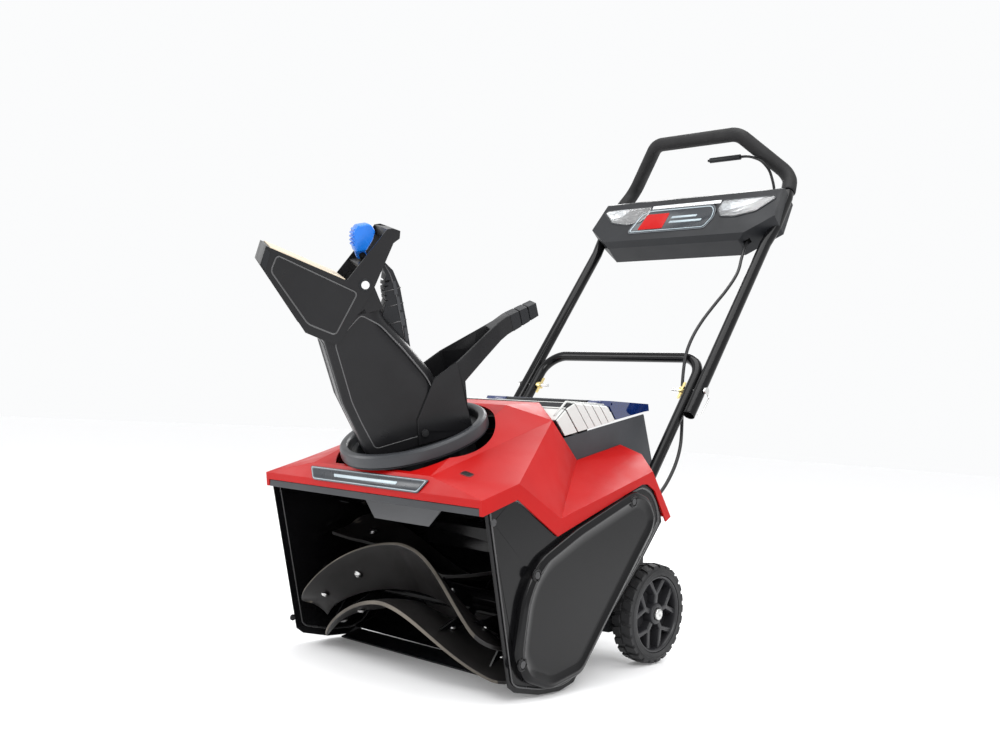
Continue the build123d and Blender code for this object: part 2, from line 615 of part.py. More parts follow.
def deflector_parts():
    near = CHUTE_HALF + 0.5
    cheek_out = near + SHELL
    shell = None
    for low, high in ((near, cheek_out), (-cheek_out, -near)):
        cheek = profile_uv(DEFLECTOR_CHEEK, low, high)
        shell = cheek if shell is None else shell + cheek
    roof = [(170, 390), (187, 363), (184, 362), (168.5, 386), (60, 301), (57, 303)]
    shell = shell + profile_uv(roof, -near, near)
    bar = profile_uv([(-29, 369), (-50, 361), (-46, 349), (-34, 344), (-27, 350)], -near, near)
    shell = shell + bar
    post = profile_uv([(2, 322), (24, 322), (24, 336), (2, 336)], -8, 8)
    shelf = profile_uv([(0, 316), (30, 316), (30, 321), (0, 321)], -near, near)
    shell = shell + shelf
    shell = shell - rod_n(PIVOT_U, PIVOT_V, PIVOT_R, -80, 80)
    pin = rod_n(14, 329, 2.5, -13, 13)
    ears = post & (rod_n(14, 329, 6.0, -8, -5) + rod_n(14, 329, 6.0, 5, 8))
    ears = ears + profile_uv([(8, 321), (20, 321), (20, 326), (8, 326)], -8, -5)
    ears = ears + profile_uv([(8, 321), (20, 321), (20, 326), (8, 326)], 5, 8)
    shell = shell + ears + pin
    add("deflector", CHUTE * shell)
    rivets = []
    for side_n in (1, -1):
        low, high = sorted((side_n * (CHUTE_HALF - SHELL), side_n * cheek_out))
        shank = rod_n(PIVOT_U, PIVOT_V, PIVOT_R, low, high)
        low, high = sorted((side_n * cheek_out, side_n * (cheek_out + 2)))
        rivets.append(CHUTE * (shank + rod_n(PIVOT_U, PIVOT_V, 7.0, low, high)))
    add("pivot_rivets", *rivets)
    lever = [(8, 337), (-14, 366), (-9, 380), (11, 381), (21, 369), (25, 345), (24, 327), (18, 323.5),
             (10, 323.5), (6, 328)]
    trigger = profile_uv(lever, -21, 21) - profile_uv([(-20, 300), (40, 300), (40, 342), (-20, 342)], 4.5, 30)
    trigger = trigger - profile_uv([(-20, 300), (40, 300), (40, 342), (-20, 342)], -30, -4.5)
    trigger = trigger - rod_n(14, 329, 2.5 + RUN_GAP, -30, 30)
    add("tilt_trigger", CHUTE * trigger)


# ---------------------------------------------------------------- handle
CABLE_ROUTE = [(190, 1092, 8), (198, 1040, 13), (210, 990, 15), (204, 935, 18), (190, 885, 20),
               (180, 835, 23), (175, 790, 23), (174, 748, 17.5), (176, 706, -1), (183, 667, -15.5),
               (197, 626, -23), (213, 582, -26), (226, 542, -28), (233, 500, -28), (236, 462, -24),
               (236, 428, -19), (233, 398, -12)]
CABLE_SPLIT = 672.0


def gentle_radii(points, share=0.45):
    """Each bend takes 0.45 of the shorter run beside it."""
    radii = []
    for a, b, c in zip(points, points[1:], points[2:]):
        one, two = Vector(*b) - Vector(*a), Vector(*c) - Vector(*b)
        bend = radians(one.get_angle(two))
        radii.append(share * min(one.length, two.length) / tan(bend / 2))
    return radii


def cables():
    """One cord from the panel to the hood, parted beside the fold bolt."""
    radii = gentle_radii(CABLE_ROUTE)
    path = FilletPolyline(*CABLE_ROUTE, radius=radii)
    whole = tube_along(CABLE_ROUTE, radii, CABLE_R)
    expected = pi * CABLE_R ** 2 * path.length
    print("cable radii", [round(r) for r in radii], "length", round(path.length, 1),
          "volume ratio", round(whole.volume / expected, 4))
    above = Pos(0, CABLE_SPLIT + 400.3, 0) * Box(900, 800, 900)
    below = Pos(0, CABLE_SPLIT - 400.3, 0) * Box(900, 800, 900)
    add("cable_upper", HANDLE * (whole & above))
    add("cable_lower", HANDLE * (whole & below))


def handle_parts():
    loop = [(-UPPER_X, 600, 0), (-UPPER_X, 1090, 0), (-241, 1140, 0), (-238, 1236, 0),
            (-221, 1314, 0), (-115, 1354, 112), (115, 1354, 112), (221, 1314, 0), (238, 1236, 0),
            (241, 1140, 0), (UPPER_X, 1090, 0), (UPPER_X, 600, 0)]
    radii = [60, 60, 60, 42, 42, 42, 42, 60, 60, 60]
    tube = tube_along(loop, radii, TUBE_R, TUBE_WALL)
    bolt_hole = Pos(0, FOLD_S, 0) * Rot(0, 90, 0) * Cylinder(4.0 + RUN_GAP, 600)
    tube = tube - bolt_hole
    add("upper_handle", HANDLE * tube)

    bend = [(-221, 1314, 0), (-115, 1354, 112), (115, 1354, 112), (221, 1314, 0)]
    cuff = [(-233.64, 1256, 0)] + bend + [(233.64, 1256, 0)]
    foam = tube_along(cuff, [42, 42, 42, 42], FOAM_R, FOAM_R - TUBE_R)
    core = tube_along(loop, radii, TUBE_R)
    add("foam_grip", HANDLE * foam)

    brace = [(-226, 262, 0), (-LOWER_X, 420, 0), (-LOWER_X, 753, 0), (LOWER_X, 753, 0),
             (LOWER_X, 420, 0), (226, 262, 0)]
    lower = tube_along(brace, [90, 52, 52, 90], LOWER_R, TUBE_WALL)
    tight_hole = Pos(0, FOLD_S, 0) * Rot(0, 90, 0) * Cylinder(4.0, 600)
    add("lower_handle", HANDLE * (lower - tight_hole))

    bolts, nuts, clips = [], [], []
    for side in (1, -1):
        def across(low, high, radius):
            a, b = sorted((side * low, side * high))
            return Pos((a + b) / 2, FOLD_S, 0) * Rot(0, 90, 0) * Cylinder(radius, b - a)
        bolt = across(168, 247.2, 4.0) + across(247.2, 252, 8.0)
        bolts.append(HANDLE * bolt)
        hub = across(188, 198, 8.0) - across(180, 200, 4.0)
        wing_a = Pos(side * 191, FOLD_S + 13, 0) * Box(5, 16, 3)
        wing_b = Pos(side * 191, FOLD_S - 13, 0) * Box(5, 16, 3)
        nuts.append(HANDLE * (hub + wing_a + wing_b - across(180, 200, 4.0)))
        wire = [(side * 244, 612, -12), (side * 249, 618, -18), (side * 249, 660, -20),
                (side * 244, 668, -14)]
        clips.append(HANDLE * tube_along(wire, [5, 5], 1.5))
    add("fold_bolts", *bolts)
    add("wing_nuts", *nuts)
    add("tube_clips", *[clip - HANDLE * core for clip in clips])
    return core


PANEL_FACE = [(-244, 1237), (244, 1237), (253, 1140), (180, 1080), (-180, 1080), (-253, 1140)]


def panel_parts(core):
    shell = extrude(make_face(Polyline(*PANEL_FACE, close=True)), 38)
    back = Pos(0, 0, -22) * extrude(make_face(Polyline(*PANEL_FACE, close=True)), 22)
    bevel = [(1064, 46), (1064, 10), (1100, 46)]
    cut = extrude(Plane.YZ.offset(-270) * make_face(Polyline(*bevel, close=True)), 540)
    body = shell - cut + back
    slant = [(1250, 24), (1215, 46), (1250, 46)]
    body = body - extrude(Plane.YZ.offset(-270) * make_face(Polyline(*slant, close=True)), 540)
    room = Pos(0, 1158, 6) * Box(400, 118, 36)
    body = body - room - core
    lamp = [(100, 1206), (232, 1206), (236, 1196), (200, 1160), (150, 1148), (112, 1152), (96, 1176)]
    lamps = []
    for side in (1, -1):
        points = [(side * x, s) for x, s in lamp]
        bowl = Pos(0, 0, 22) * extrude(make_face(Polyline(*points, close=True)), 18)
        bowl = bowl & Pos(0, 1170, 20) * Box(520, 90, 40)
        lamps.append(bowl - core)
    strip = Pos(0, 1202, 31) * Box(190, 10, 18)
    badge = [(-104, 1190), (-84, 1196), (84, 1196), (100, 1176), (88, 1146), (-120, 1140)]
    plate = Pos(0, 0, 36) * extrude(outline(badge, 4.0), 4.0)
    start = Pos(-2, 1236, 4) * Box(34, 18, 16)
    light = Pos(-104, 1236, 4) * Box(18, 14, 10)
    window = Pos(-2, 1234, 4) * Box(35, 28, 17)
    window_b = Pos(-104, 1234, 4) * Box(19, 24, 11)
    body = body - window - window_b
    strip = strip - plate
    for lamp_solid in lamps:
        body = body - lamp_solid
        strip = strip - lamp_solid
        plate = plate - lamp_solid
    body = body - strip - plate
    cable_hole = Pos(192, 1094, 9) * Box(14, 60, 14)
    body = body - cable_hole
    add("panel_shell", HANDLE * max(body.solids(), key=lambda s: s.volume))
    add("headlights", *[HANDLE * lamp_solid for lamp_solid in lamps])
    add("light_strip", HANDLE * strip)
    add("panel_badge", HANDLE * plate)
    add("start_button", HANDLE * start)
    add("light_switch", HANDLE * light)


def bail_parts():
    wire = [(206, 1243, 4), (203, 1264, 24), (192, 1290, 46), (171, 1308, 62), (134, 1325, 66),
            (24, 1325, 66)]
    rod = tube_along(wire, gentle_radii(wire, 0.4), 3.2)
    foot = Pos(206, 1243, 4) * Rot(0, 90, 0) * Cylinder(5.5, 16)
    pivot = Pos(206, 1243, 4) * Rot(0, 90, 0) * Cylinder(2.5 + RUN_GAP, 40)
    grip_path = Line((112, 1325, 66), (30, 1325, 66))
    grip_end = Plane(origin=grip_path @ 0, z_dir=grip_path % 0)
    grip = sweep(grip_end * (Circle(6.5) - Circle(3.2)), path=grip_path)
    add("bail_lever", HANDLE * (rod + foot - pivot))
    add("bail_grip", HANDLE * grip)
    pin = Pos(206, 1243, 4) * Rot(0, 90, 0) * Cylinder(2.5, 23)
    ears = []
    for low in (194.5, 214.5):
        ear = Pos(low + 1.5, 1241.5, 4) * Box(3, 9, 9)
        ears.append(ear)
    bracket = ears[0] + ears[1] + pin
    add("bail_bracket", HANDLE * bracket)


def build_all():
    side_plates()
    belt_cover()
    housing_bolts()
    auger_box()
    bearings()
    rotor()
    belt_drive()
    chassis()
    gears()
    wheels()
    hood()
    battery_bay()
    louvres()
    battery_cover()
    chute_parts()
    lever_parts()
    deflector_parts()
    core = handle_parts()
    panel_parts(core)
    bail_parts()
    cables()


build_all()
for name, solids in parts.items():
    placed = [solid.moved(Location((0, -MID_Y, 0))) for solid in solids]
    shape = placed[0] if len(placed) == 1 else Compound(placed)
    export_step(shape, f"parts/{name}.step")
print(len(parts), "nodes")
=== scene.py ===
"""Detail, materials and stage of the snow blower, around its CAD frame."""
import json
from math import cos, hypot, pi, radians, sin, tan

import bmesh
import bpy
from mathutils import Matrix, Vector
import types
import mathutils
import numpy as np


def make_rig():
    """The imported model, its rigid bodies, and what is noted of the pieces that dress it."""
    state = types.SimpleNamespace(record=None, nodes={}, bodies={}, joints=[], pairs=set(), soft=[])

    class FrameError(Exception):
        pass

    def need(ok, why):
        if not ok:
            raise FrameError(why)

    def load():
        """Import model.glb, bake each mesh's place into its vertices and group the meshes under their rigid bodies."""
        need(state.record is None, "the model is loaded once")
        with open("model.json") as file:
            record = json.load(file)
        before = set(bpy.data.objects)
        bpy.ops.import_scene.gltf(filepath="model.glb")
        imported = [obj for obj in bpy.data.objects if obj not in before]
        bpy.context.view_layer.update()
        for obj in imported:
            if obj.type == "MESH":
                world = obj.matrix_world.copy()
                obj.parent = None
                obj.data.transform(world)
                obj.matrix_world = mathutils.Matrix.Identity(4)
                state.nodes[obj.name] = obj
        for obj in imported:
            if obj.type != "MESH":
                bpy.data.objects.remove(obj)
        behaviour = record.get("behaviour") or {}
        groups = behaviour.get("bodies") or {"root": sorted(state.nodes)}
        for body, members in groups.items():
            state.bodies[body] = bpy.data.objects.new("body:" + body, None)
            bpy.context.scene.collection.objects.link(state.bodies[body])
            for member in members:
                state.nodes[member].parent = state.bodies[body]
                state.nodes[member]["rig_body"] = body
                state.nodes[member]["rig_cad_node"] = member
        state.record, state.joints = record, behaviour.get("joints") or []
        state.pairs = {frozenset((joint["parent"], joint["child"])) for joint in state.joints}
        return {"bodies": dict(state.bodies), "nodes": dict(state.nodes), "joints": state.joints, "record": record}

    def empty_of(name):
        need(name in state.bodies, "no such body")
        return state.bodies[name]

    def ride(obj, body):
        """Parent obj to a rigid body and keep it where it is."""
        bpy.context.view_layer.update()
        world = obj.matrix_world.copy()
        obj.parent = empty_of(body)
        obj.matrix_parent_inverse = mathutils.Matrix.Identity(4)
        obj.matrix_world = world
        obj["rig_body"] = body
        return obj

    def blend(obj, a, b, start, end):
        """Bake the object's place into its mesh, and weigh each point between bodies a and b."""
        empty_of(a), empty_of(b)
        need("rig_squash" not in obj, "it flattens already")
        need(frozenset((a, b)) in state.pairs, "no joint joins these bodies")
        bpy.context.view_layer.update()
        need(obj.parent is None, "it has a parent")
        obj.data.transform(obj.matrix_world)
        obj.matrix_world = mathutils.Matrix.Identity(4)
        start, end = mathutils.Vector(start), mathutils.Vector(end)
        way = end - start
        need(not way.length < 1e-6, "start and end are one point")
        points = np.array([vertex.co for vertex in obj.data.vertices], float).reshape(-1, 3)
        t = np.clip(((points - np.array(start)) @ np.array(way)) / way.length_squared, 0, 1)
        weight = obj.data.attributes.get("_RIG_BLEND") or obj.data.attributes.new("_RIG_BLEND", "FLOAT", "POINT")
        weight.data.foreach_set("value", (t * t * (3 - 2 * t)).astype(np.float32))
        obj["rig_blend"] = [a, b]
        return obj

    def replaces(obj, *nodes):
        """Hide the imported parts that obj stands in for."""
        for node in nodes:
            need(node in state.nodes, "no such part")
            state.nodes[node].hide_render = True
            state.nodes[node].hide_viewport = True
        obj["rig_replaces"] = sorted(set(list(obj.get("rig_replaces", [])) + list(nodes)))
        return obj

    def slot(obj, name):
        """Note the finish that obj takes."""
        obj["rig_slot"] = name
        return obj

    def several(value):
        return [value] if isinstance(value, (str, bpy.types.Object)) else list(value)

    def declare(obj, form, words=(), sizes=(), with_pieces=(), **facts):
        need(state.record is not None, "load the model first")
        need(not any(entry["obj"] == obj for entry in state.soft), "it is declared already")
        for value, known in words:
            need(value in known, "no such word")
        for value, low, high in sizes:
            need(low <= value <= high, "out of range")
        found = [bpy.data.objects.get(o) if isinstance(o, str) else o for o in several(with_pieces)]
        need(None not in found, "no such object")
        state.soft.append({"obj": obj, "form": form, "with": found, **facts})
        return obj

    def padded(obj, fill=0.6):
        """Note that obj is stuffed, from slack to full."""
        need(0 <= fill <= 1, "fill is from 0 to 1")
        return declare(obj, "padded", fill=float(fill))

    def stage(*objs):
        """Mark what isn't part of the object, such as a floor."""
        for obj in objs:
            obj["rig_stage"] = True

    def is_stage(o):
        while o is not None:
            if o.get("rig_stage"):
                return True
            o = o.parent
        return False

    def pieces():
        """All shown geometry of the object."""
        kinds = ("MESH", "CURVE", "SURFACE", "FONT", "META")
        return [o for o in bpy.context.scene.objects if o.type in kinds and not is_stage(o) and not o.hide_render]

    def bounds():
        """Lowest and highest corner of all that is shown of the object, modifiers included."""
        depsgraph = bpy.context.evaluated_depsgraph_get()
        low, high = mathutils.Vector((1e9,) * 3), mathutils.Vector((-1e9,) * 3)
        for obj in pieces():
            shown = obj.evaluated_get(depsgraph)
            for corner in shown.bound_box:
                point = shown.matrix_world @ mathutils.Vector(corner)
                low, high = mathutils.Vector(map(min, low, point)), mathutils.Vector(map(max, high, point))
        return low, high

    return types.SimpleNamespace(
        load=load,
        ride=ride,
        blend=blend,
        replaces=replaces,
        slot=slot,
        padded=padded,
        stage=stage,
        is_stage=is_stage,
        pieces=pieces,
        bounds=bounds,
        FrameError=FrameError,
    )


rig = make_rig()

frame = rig.load()
CAD_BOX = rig.bounds()
RECORD = frame["record"]
JOINTS = {j["name"]: j for j in frame["joints"]}
NODE_SLOT = {s["node"]: s["material_slot"] for s in RECORD["subparts"]}
SLOTS = {m["slot"] for m in RECORD["materials"]}
MM = 0.001
WELD_GAP, JOIN_GAP = 0.00002, 0.000005
scene = bpy.context.scene


# ---------------------------------------------------------------- materials
# Places of the colour sockets on a Mix node, which its names don't tell apart.
MIX_FACTOR, MIX_FIRST, MIX_LAST, MIX_RESULT = 0, 6, 7, 2
# Scale and detail of the noise behind a finish's colour and behind its gloss.
MOTTLE, SMEAR = (9.0, 4.0), (22.0, 5.0)
GRAIN_DETAIL = 2.0


def noise(tree, scale, detail):
    coords = tree.nodes.new("ShaderNodeTexCoord")
    tex = tree.nodes.new("ShaderNodeTexNoise")
    tex.inputs["Scale"].default_value = scale
    tex.inputs["Detail"].default_value = detail
    tex.inputs["Roughness"].default_value = 0.5
    tree.links.new(coords.outputs["Object"], tex.inputs["Vector"])
    return tex.outputs["Fac"]


def ramp(tree, factor, low, high, first, last):
    """A factor between low and high stretched to run from first to last."""
    node = tree.nodes.new("ShaderNodeMapRange")
    for key, value in zip(("From Min", "From Max", "To Min", "To Max"), (low, high, first, last)):
        node.inputs[key].default_value = value
    tree.links.new(factor, node.inputs["Value"])
    return node.outputs["Result"]


def blend_colour(tree, factor, first, last):
    node = tree.nodes.new("ShaderNodeMix")
    node.data_type = "RGBA"
    node.inputs[MIX_FIRST].default_value = (*first, 1.0)
    node.inputs[MIX_LAST].default_value = (*last, 1.0)
    tree.links.new(factor, node.inputs[MIX_FACTOR])
    return node.outputs[MIX_RESULT]


def bump(tree, height, distance):
    node = tree.nodes.new("ShaderNodeBump")
    node.inputs["Strength"].default_value = 1.0
    node.inputs["Distance"].default_value = distance
    tree.links.new(height, node.inputs["Height"])
    return node.outputs["Normal"]


def finish(name, colour, rough, metal=0.0, coat=0.0, spread=0.12, grain=900.0, depth=0.00004,
           rough_spread=0.08, coat_rough=0.08, spec=0.5, glow=0.0, clear=0.0):
    """A finish with mottled colour, uneven gloss and a fine surface grain."""
    material = bpy.data.materials.new(name)
    material.use_nodes = True
    tree = material.node_tree
    shader = tree.nodes["Principled BSDF"]
    shader.inputs["Metallic"].default_value = metal
    shader.inputs["Specular IOR Level"].default_value = spec
    shader.inputs["Emission Color"].default_value = (1.0, 1.0, 1.0, 1.0)
    shader.inputs["Emission Strength"].default_value = glow
    shader.inputs["Coat Weight"].default_value = coat
    shader.inputs["Coat Roughness"].default_value = coat_rough
    shader.inputs["Transmission Weight"].default_value = clear
    dark = tuple(c * (1 - spread) for c in colour)
    light = tuple(min(1.0, c * (1 + spread)) for c in colour)
    broad = ramp(tree, noise(tree, *MOTTLE), 0.35, 0.65, 0.0, 1.0)
    tint = blend_colour(tree, broad, dark, light)
    tree.links.new(tint, shader.inputs["Base Color"])
    fine = noise(tree, grain, GRAIN_DETAIL)
    smear = noise(tree, *SMEAR)
    gloss = ramp(tree, smear, 0.3, 0.7, max(0.02, rough - rough_spread), rough + rough_spread)
    tree.links.new(gloss, shader.inputs["Roughness"])
    tree.links.new(bump(tree, fine, depth), shader.inputs["Normal"])
    return material


FINISHES = {
    "black_steel": dict(colour=(0.004, 0.004, 0.0045), rough=0.15, grain=700, depth=0.00001,
                        rough_spread=0.04, spec=0.20),
    # Painted highlight: the pressed ribs are the same black steel as the plates, drawn lighter to show the light they
    # catch.
    "rib_edge": dict(colour=(0.030, 0.030, 0.031), rough=0.22, grain=700, depth=0.00002,
                     spec=0.6),
    "dark_bolt": dict(colour=(0.05, 0.05, 0.052), rough=0.30, metal=0.6, grain=900),
    "dark_plastic": dict(colour=(0.011, 0.012, 0.014), rough=0.40, grain=1500, spec=0.22),
    "grey_plastic": dict(colour=(0.030, 0.032, 0.036), rough=0.38, grain=1500, spec=0.35),
    "bay_plastic": dict(colour=(0.036, 0.038, 0.043), rough=0.46, grain=1500, spec=0.3),
    "chute_plastic": dict(colour=(0.0085, 0.0085, 0.0095), rough=0.34, grain=1400, depth=0.00003,
                          spec=0.22),
    # Painted sheen: raised beads and seams of the black chute plastic, drawn lighter to show the light along them.
    "bead_plastic": dict(colour=(0.060, 0.060, 0.062), rough=0.30, grain=1400, depth=0.00002,
                         spec=0.6),
    "red_plastic": dict(colour=(0.37, 0.0022, 0.0018), rough=0.36, grain=1300, depth=0.00002,
                        spread=0.04, spec=0.16),
    "dark_red": dict(colour=(0.16, 0.002, 0.002), rough=0.5, grain=1300, depth=0.00002),
    "fin_plastic": dict(colour=(0.55, 0.56, 0.545), rough=0.34, spread=0.04),
    # Partly painted highlight: the strip's lightness is a grazing highlight on the grey deflector roof, and its tan
    # tint is a label's colour.
    "strip_tan": dict(colour=(0.52, 0.44, 0.33), rough=0.45),
    "blue_cover": dict(colour=(0.004, 0.016, 0.090), rough=0.05, coat=1.0, grain=200,
                       depth=0.00001, coat_rough=0.02, rough_spread=0.03),
    "blue_trigger": dict(colour=(0.003, 0.16, 0.66), rough=0.30),
    "clear_lens": dict(colour=(0.92, 0.94, 0.96), rough=0.03, coat=0.3, grain=300, depth=0.00001,
                       clear=0.9),
    # Painted reflection: the glow makes the unlit lamp bowls and light strip look bright silver.
    "reflector": dict(colour=(0.86, 0.88, 0.90), rough=0.14, metal=0.85, grain=200,
                      depth=0.00001, glow=0.22),
    "badge": dict(colour=(0.022, 0.026, 0.032), rough=0.28),
    "badge_rim": dict(colour=(0.075, 0.085, 0.095), rough=0.30),
    "badge_glow": dict(colour=(0.42, 0.50, 0.54), rough=0.35),
    "zinc": dict(colour=(0.62, 0.62, 0.61), rough=0.28, metal=1.0, grain=1200),
    "yellow_zinc": dict(colour=(0.72, 0.58, 0.26), rough=0.30, metal=1.0, grain=1200),
    "machined_steel": dict(colour=(0.50, 0.50, 0.50), rough=0.32, metal=1.0, grain=600),
    "paddle_rubber": dict(colour=(0.012, 0.011, 0.011), rough=0.36, grain=500, depth=0.00006,
                          spec=0.35),
    "paddle_edge": dict(colour=(0.110, 0.098, 0.083), rough=0.75, grain=350, depth=0.0003,
                        spread=0.45, spec=0.2),
    "belt_rubber": dict(colour=(0.015, 0.015, 0.015), rough=0.6, grain=700, depth=0.0001),
    "foam": dict(colour=(0.008, 0.008, 0.0085), rough=0.62, grain=900, depth=0.0003, spread=0.2,
                 spec=0.3),
    "tyre": dict(colour=(0.020, 0.020, 0.021), rough=0.60, grain=600, depth=0.0001, spread=0.2,
                 spec=0.3),
    "rim_plastic": dict(colour=(0.017, 0.017, 0.019), rough=0.32, spec=0.35),
    "cable_skin": dict(colour=(0.008, 0.008, 0.009), rough=0.40, spec=0.4),
    "motor_metal": dict(colour=(0.30, 0.30, 0.32), rough=0.40, metal=1.0),
    "mid_grey": dict(colour=(0.085, 0.087, 0.092), rough=0.40, grain=1200, spec=0.35),
}
LOOKS = {name: finish(name, **values) for name, values in FINISHES.items()}
# Nodes whose look is not the one named by their slot. The light strip takes the reflector's painted glow.
NODE_LOOK = {"snow_deflector": "mid_grey", "light_strip": "reflector",
             "front_beam": "grey_plastic", "housing_bolts": "dark_bolt",
             "battery_bay": "bay_plastic", "louvre_panel": "dark_plastic",
             "chute_bolts": "dark_bolt"}


# ---------------------------------------------------------------- carried-over CAD nodes
# Rounding in millimetres, and the angle in degrees from which an edge is rounded.
ROUND = {"hood": (3.2, 10.0), "deflector": (1.6, 12.0), "chute_lever": (2.4, 12.0),
         "panel_shell": (3.5, 14.0), "battery_bay": (2.2, 20.0), "battery_cover": (3.0, 20.0),
         "rotor_frame": (0.8, 25.0), "front_beam": (1.5, 30.0)}
SMALL_ROUND = (0.6, 28.0)
# Cosines of the widest and narrowest angle between neighbouring faces of a curved surface.
SHARP, FLAT = 0.88, 0.99995
SPOTS_PER_M = 100000


def round_off(item, width, angle, segments=3):
    """Bevel an object's edges where they turn by more than an angle in degrees."""
    rounder = item.modifiers.new("round", "BEVEL")
    rounder.width = width * MM
    rounder.segments = segments
    rounder.limit_method = "ANGLE"
    rounder.angle_limit = radians(angle)
    rounder.harden_normals = True


def on_curves(mesh):
    """For each face, whether it lies on a curved surface, so that flat ones stay flat."""
    spots = [tuple(round(c * SPOTS_PER_M) for c in v.co) for v in mesh.vertices]
    beside = {}
    for face in mesh.polygons:
        corners = [spots[k] for k in face.vertices]
        for a, b in zip(corners, corners[1:] + corners[:1]):
            beside.setdefault((a, b) if a < b else (b, a), []).append(face.index)
    curved = [False] * len(mesh.polygons)
    for pair in beside.values():
        if len(pair) != 2:
            continue
        one, two = mesh.polygons[pair[0]], mesh.polygons[pair[1]]
        if SHARP < one.normal.dot(two.normal) < FLAT:
            curved[pair[0]] = curved[pair[1]] = True
    return curved


for node_name, node_object in frame["nodes"].items():
    node_mesh = node_object.data
    node_mesh.materials.clear()
    node_mesh.materials.append(LOOKS[NODE_LOOK.get(node_name, NODE_SLOT[node_name])])
    node_mesh.normals_split_custom_set([(0.0, 0.0, 0.0)] * len(node_mesh.loops))
    node_mesh.polygons.foreach_set("use_smooth", on_curves(node_mesh))
    weld = node_object.modifiers.new("weld", "WELD")
    weld.merge_threshold = WELD_GAP
    round_off(node_object, *ROUND.get(node_name, SMALL_ROUND))


# ---------------------------------------------------------------- frames of the moving parts
def column_frame(origin, x_axis, z_axis):
    """A function from millimetres along x, y and z of a leaning frame to a point in metres."""
    start = Vector(origin)
    z_dir = Vector(z_axis).normalized()
    x_dir = Vector(x_axis).normalized()
    y_dir = z_dir.cross(x_dir)

    def place(x, y, z):
        return start + (x_dir * x + y_dir * y + z_dir * z) * MM
    return place


def on_face(frame_place):
    """The same frame for outlines drawn on its x and y: (u, height, v)."""
    def place(u, height, v):
        return frame_place(u, v, height)
    return place


# chute(u, n, v): u towards the front of the chute, n across it, v up the swivel axis.
SWIVEL = JOINTS["chute_swivel"]
ACROSS = Vector(JOINTS["deflector_tilt"]["axis"])
chute = column_frame(SWIVEL["pos_m"], ACROSS.cross(Vector(SWIVEL["axis"])), SWIVEL["axis"])

# handle(x, s, off): s up the leaning tubes from their foot, off away from them towards the front.
X_AXIS = (1, 0, 0)
RISE = radians(54.2)
FOLD_S = 664.0
HANDLE_OUT = Vector((0, -sin(RISE), cos(RISE)))
fold_at = Vector(JOINTS["handle_fold"]["pos_m"])
handle_foot = fold_at - Vector((0, cos(RISE), sin(RISE))) * FOLD_S * MM
handle = column_frame(handle_foot, X_AXIS, HANDLE_OUT)
on_panel = on_face(handle)

BACK = 284.0  # what the CAD drawing's y has over the frame's


def machine(x, y, z):
    """A point in the CAD drawing's millimetres."""
    return Vector((x, y - BACK, z)) * MM


def side(y, x, z):
    """An outline point (y, z) at depth x, for shapes drawn on the side plates."""
    return machine(x, y, z)


# ---------------------------------------------------------------- mesh helpers
def piece(name, verts, faces, body, look, replaced=(), width=0.0, angle=30.0, segments=3,
          smooth=True, slot=None):
    """One visible piece: a mesh that rides on a body, with its edges rounded."""
    mesh = bpy.data.meshes.new(name)
    mesh.from_pydata([tuple(v) for v in verts], [], faces)
    made = bmesh.new()
    made.from_mesh(mesh)
    bmesh.ops.remove_doubles(made, verts=made.verts, dist=JOIN_GAP)
    bmesh.ops.recalc_face_normals(made, faces=made.faces)
    made.to_mesh(mesh)
    made.free()
    mesh.polygons.foreach_set("use_smooth", [smooth] * len(mesh.polygons))
    item = bpy.data.objects.new(name, mesh)
    scene.collection.objects.link(item)
    mesh.materials.append(LOOKS[look])
    if width:
        round_off(item, width, angle, segments)
    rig.ride(item, body)
    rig.slot(item, slot or (look if look in SLOTS else "dark_plastic"))
    if replaced:
        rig.replaces(item, *replaced)
    return item


def ring_mesh(rings, joined=False, open_rings=False, cap_first=True):
    """A skin over rings of equally many points: capped at its ends, or joined end to end."""
    count = len(rings[0])
    verts = [p for ring in rings for p in ring]
    faces = []
    for k in range(len(rings) if joined else len(rings) - 1):
        here, there = k * count, (k + 1) % len(rings) * count
        for j in range(count - 1 if open_rings else count):
            beside = (j + 1) % count
            faces.append((here + j, here + beside, there + beside, there + j))
    if not joined:
        if cap_first:
            faces.append(tuple(reversed(range(count))))
        faces.append(tuple(range((len(rings) - 1) * count, len(rings) * count)))
    return verts, faces


def merged(*meshes):
    """Several meshes as one."""
    verts, faces = [], []
    for part_verts, part_faces in meshes:
        start = len(verts)
        verts += list(part_verts)
        faces += [tuple(i + start for i in face) for face in part_faces]
    return verts, faces


def rounded(points, radius, steps=5):
    """A closed outline with each corner turned into an arc."""
    out = []
    count = len(points)
    for k in range(count):
        a, b, c = (Vector(points[(k + d) % count]) for d in (-1, 0, 1))
        one, two = (a - b), (c - b)
        cut = min(radius, one.length * 0.45, two.length * 0.45)
        first, last = b + one.normalized() * cut, b + two.normalized() * cut
        for j in range(steps + 1):
            t = j / steps
            out.append(tuple(first * (1 - t) ** 2 + b * 2 * t * (1 - t) + last * t * t))
    return out


def subdivide(points, step):
    """The same closed outline with points about a step apart."""
    out = []
    for k, point in enumerate(points):
        a, b = Vector(point), Vector(points[(k + 1) % len(points)])
        parts = max(1, int((b - a).length / step))
        out += [tuple(a.lerp(b, j / parts)) for j in range(parts)]
    return out


def shrink(points, by):
    """The outline moved inwards by a fixed distance."""
    count = len(points)
    area = sum(points[k][0] * points[(k + 1) % count][1] - points[(k + 1) % count][0] * points[k][1]
               for k in range(count))
    sign = 1 if area > 0 else -1
    out = []
    for k in range(count):
        a, b, c = (Vector(points[(k + d) % count]) for d in (-1, 0, 1))
        one, two = (b - a).normalized(), (c - b).normalized()
        n1, n2 = Vector((-one.y, one.x)) * sign, Vector((-two.y, two.x)) * sign
        middle = (n1 + n2).normalized()
        out.append(tuple(b + middle * (by / max(0.35, middle.dot(n1)))))
    return out


def slab(points, low, high, place):
    """A flat outline given thickness: place(u, height, v) turns its coordinates into a point."""
    return ring_mesh([[place(u, height, v) for u, v in points] for height in (low, high)])


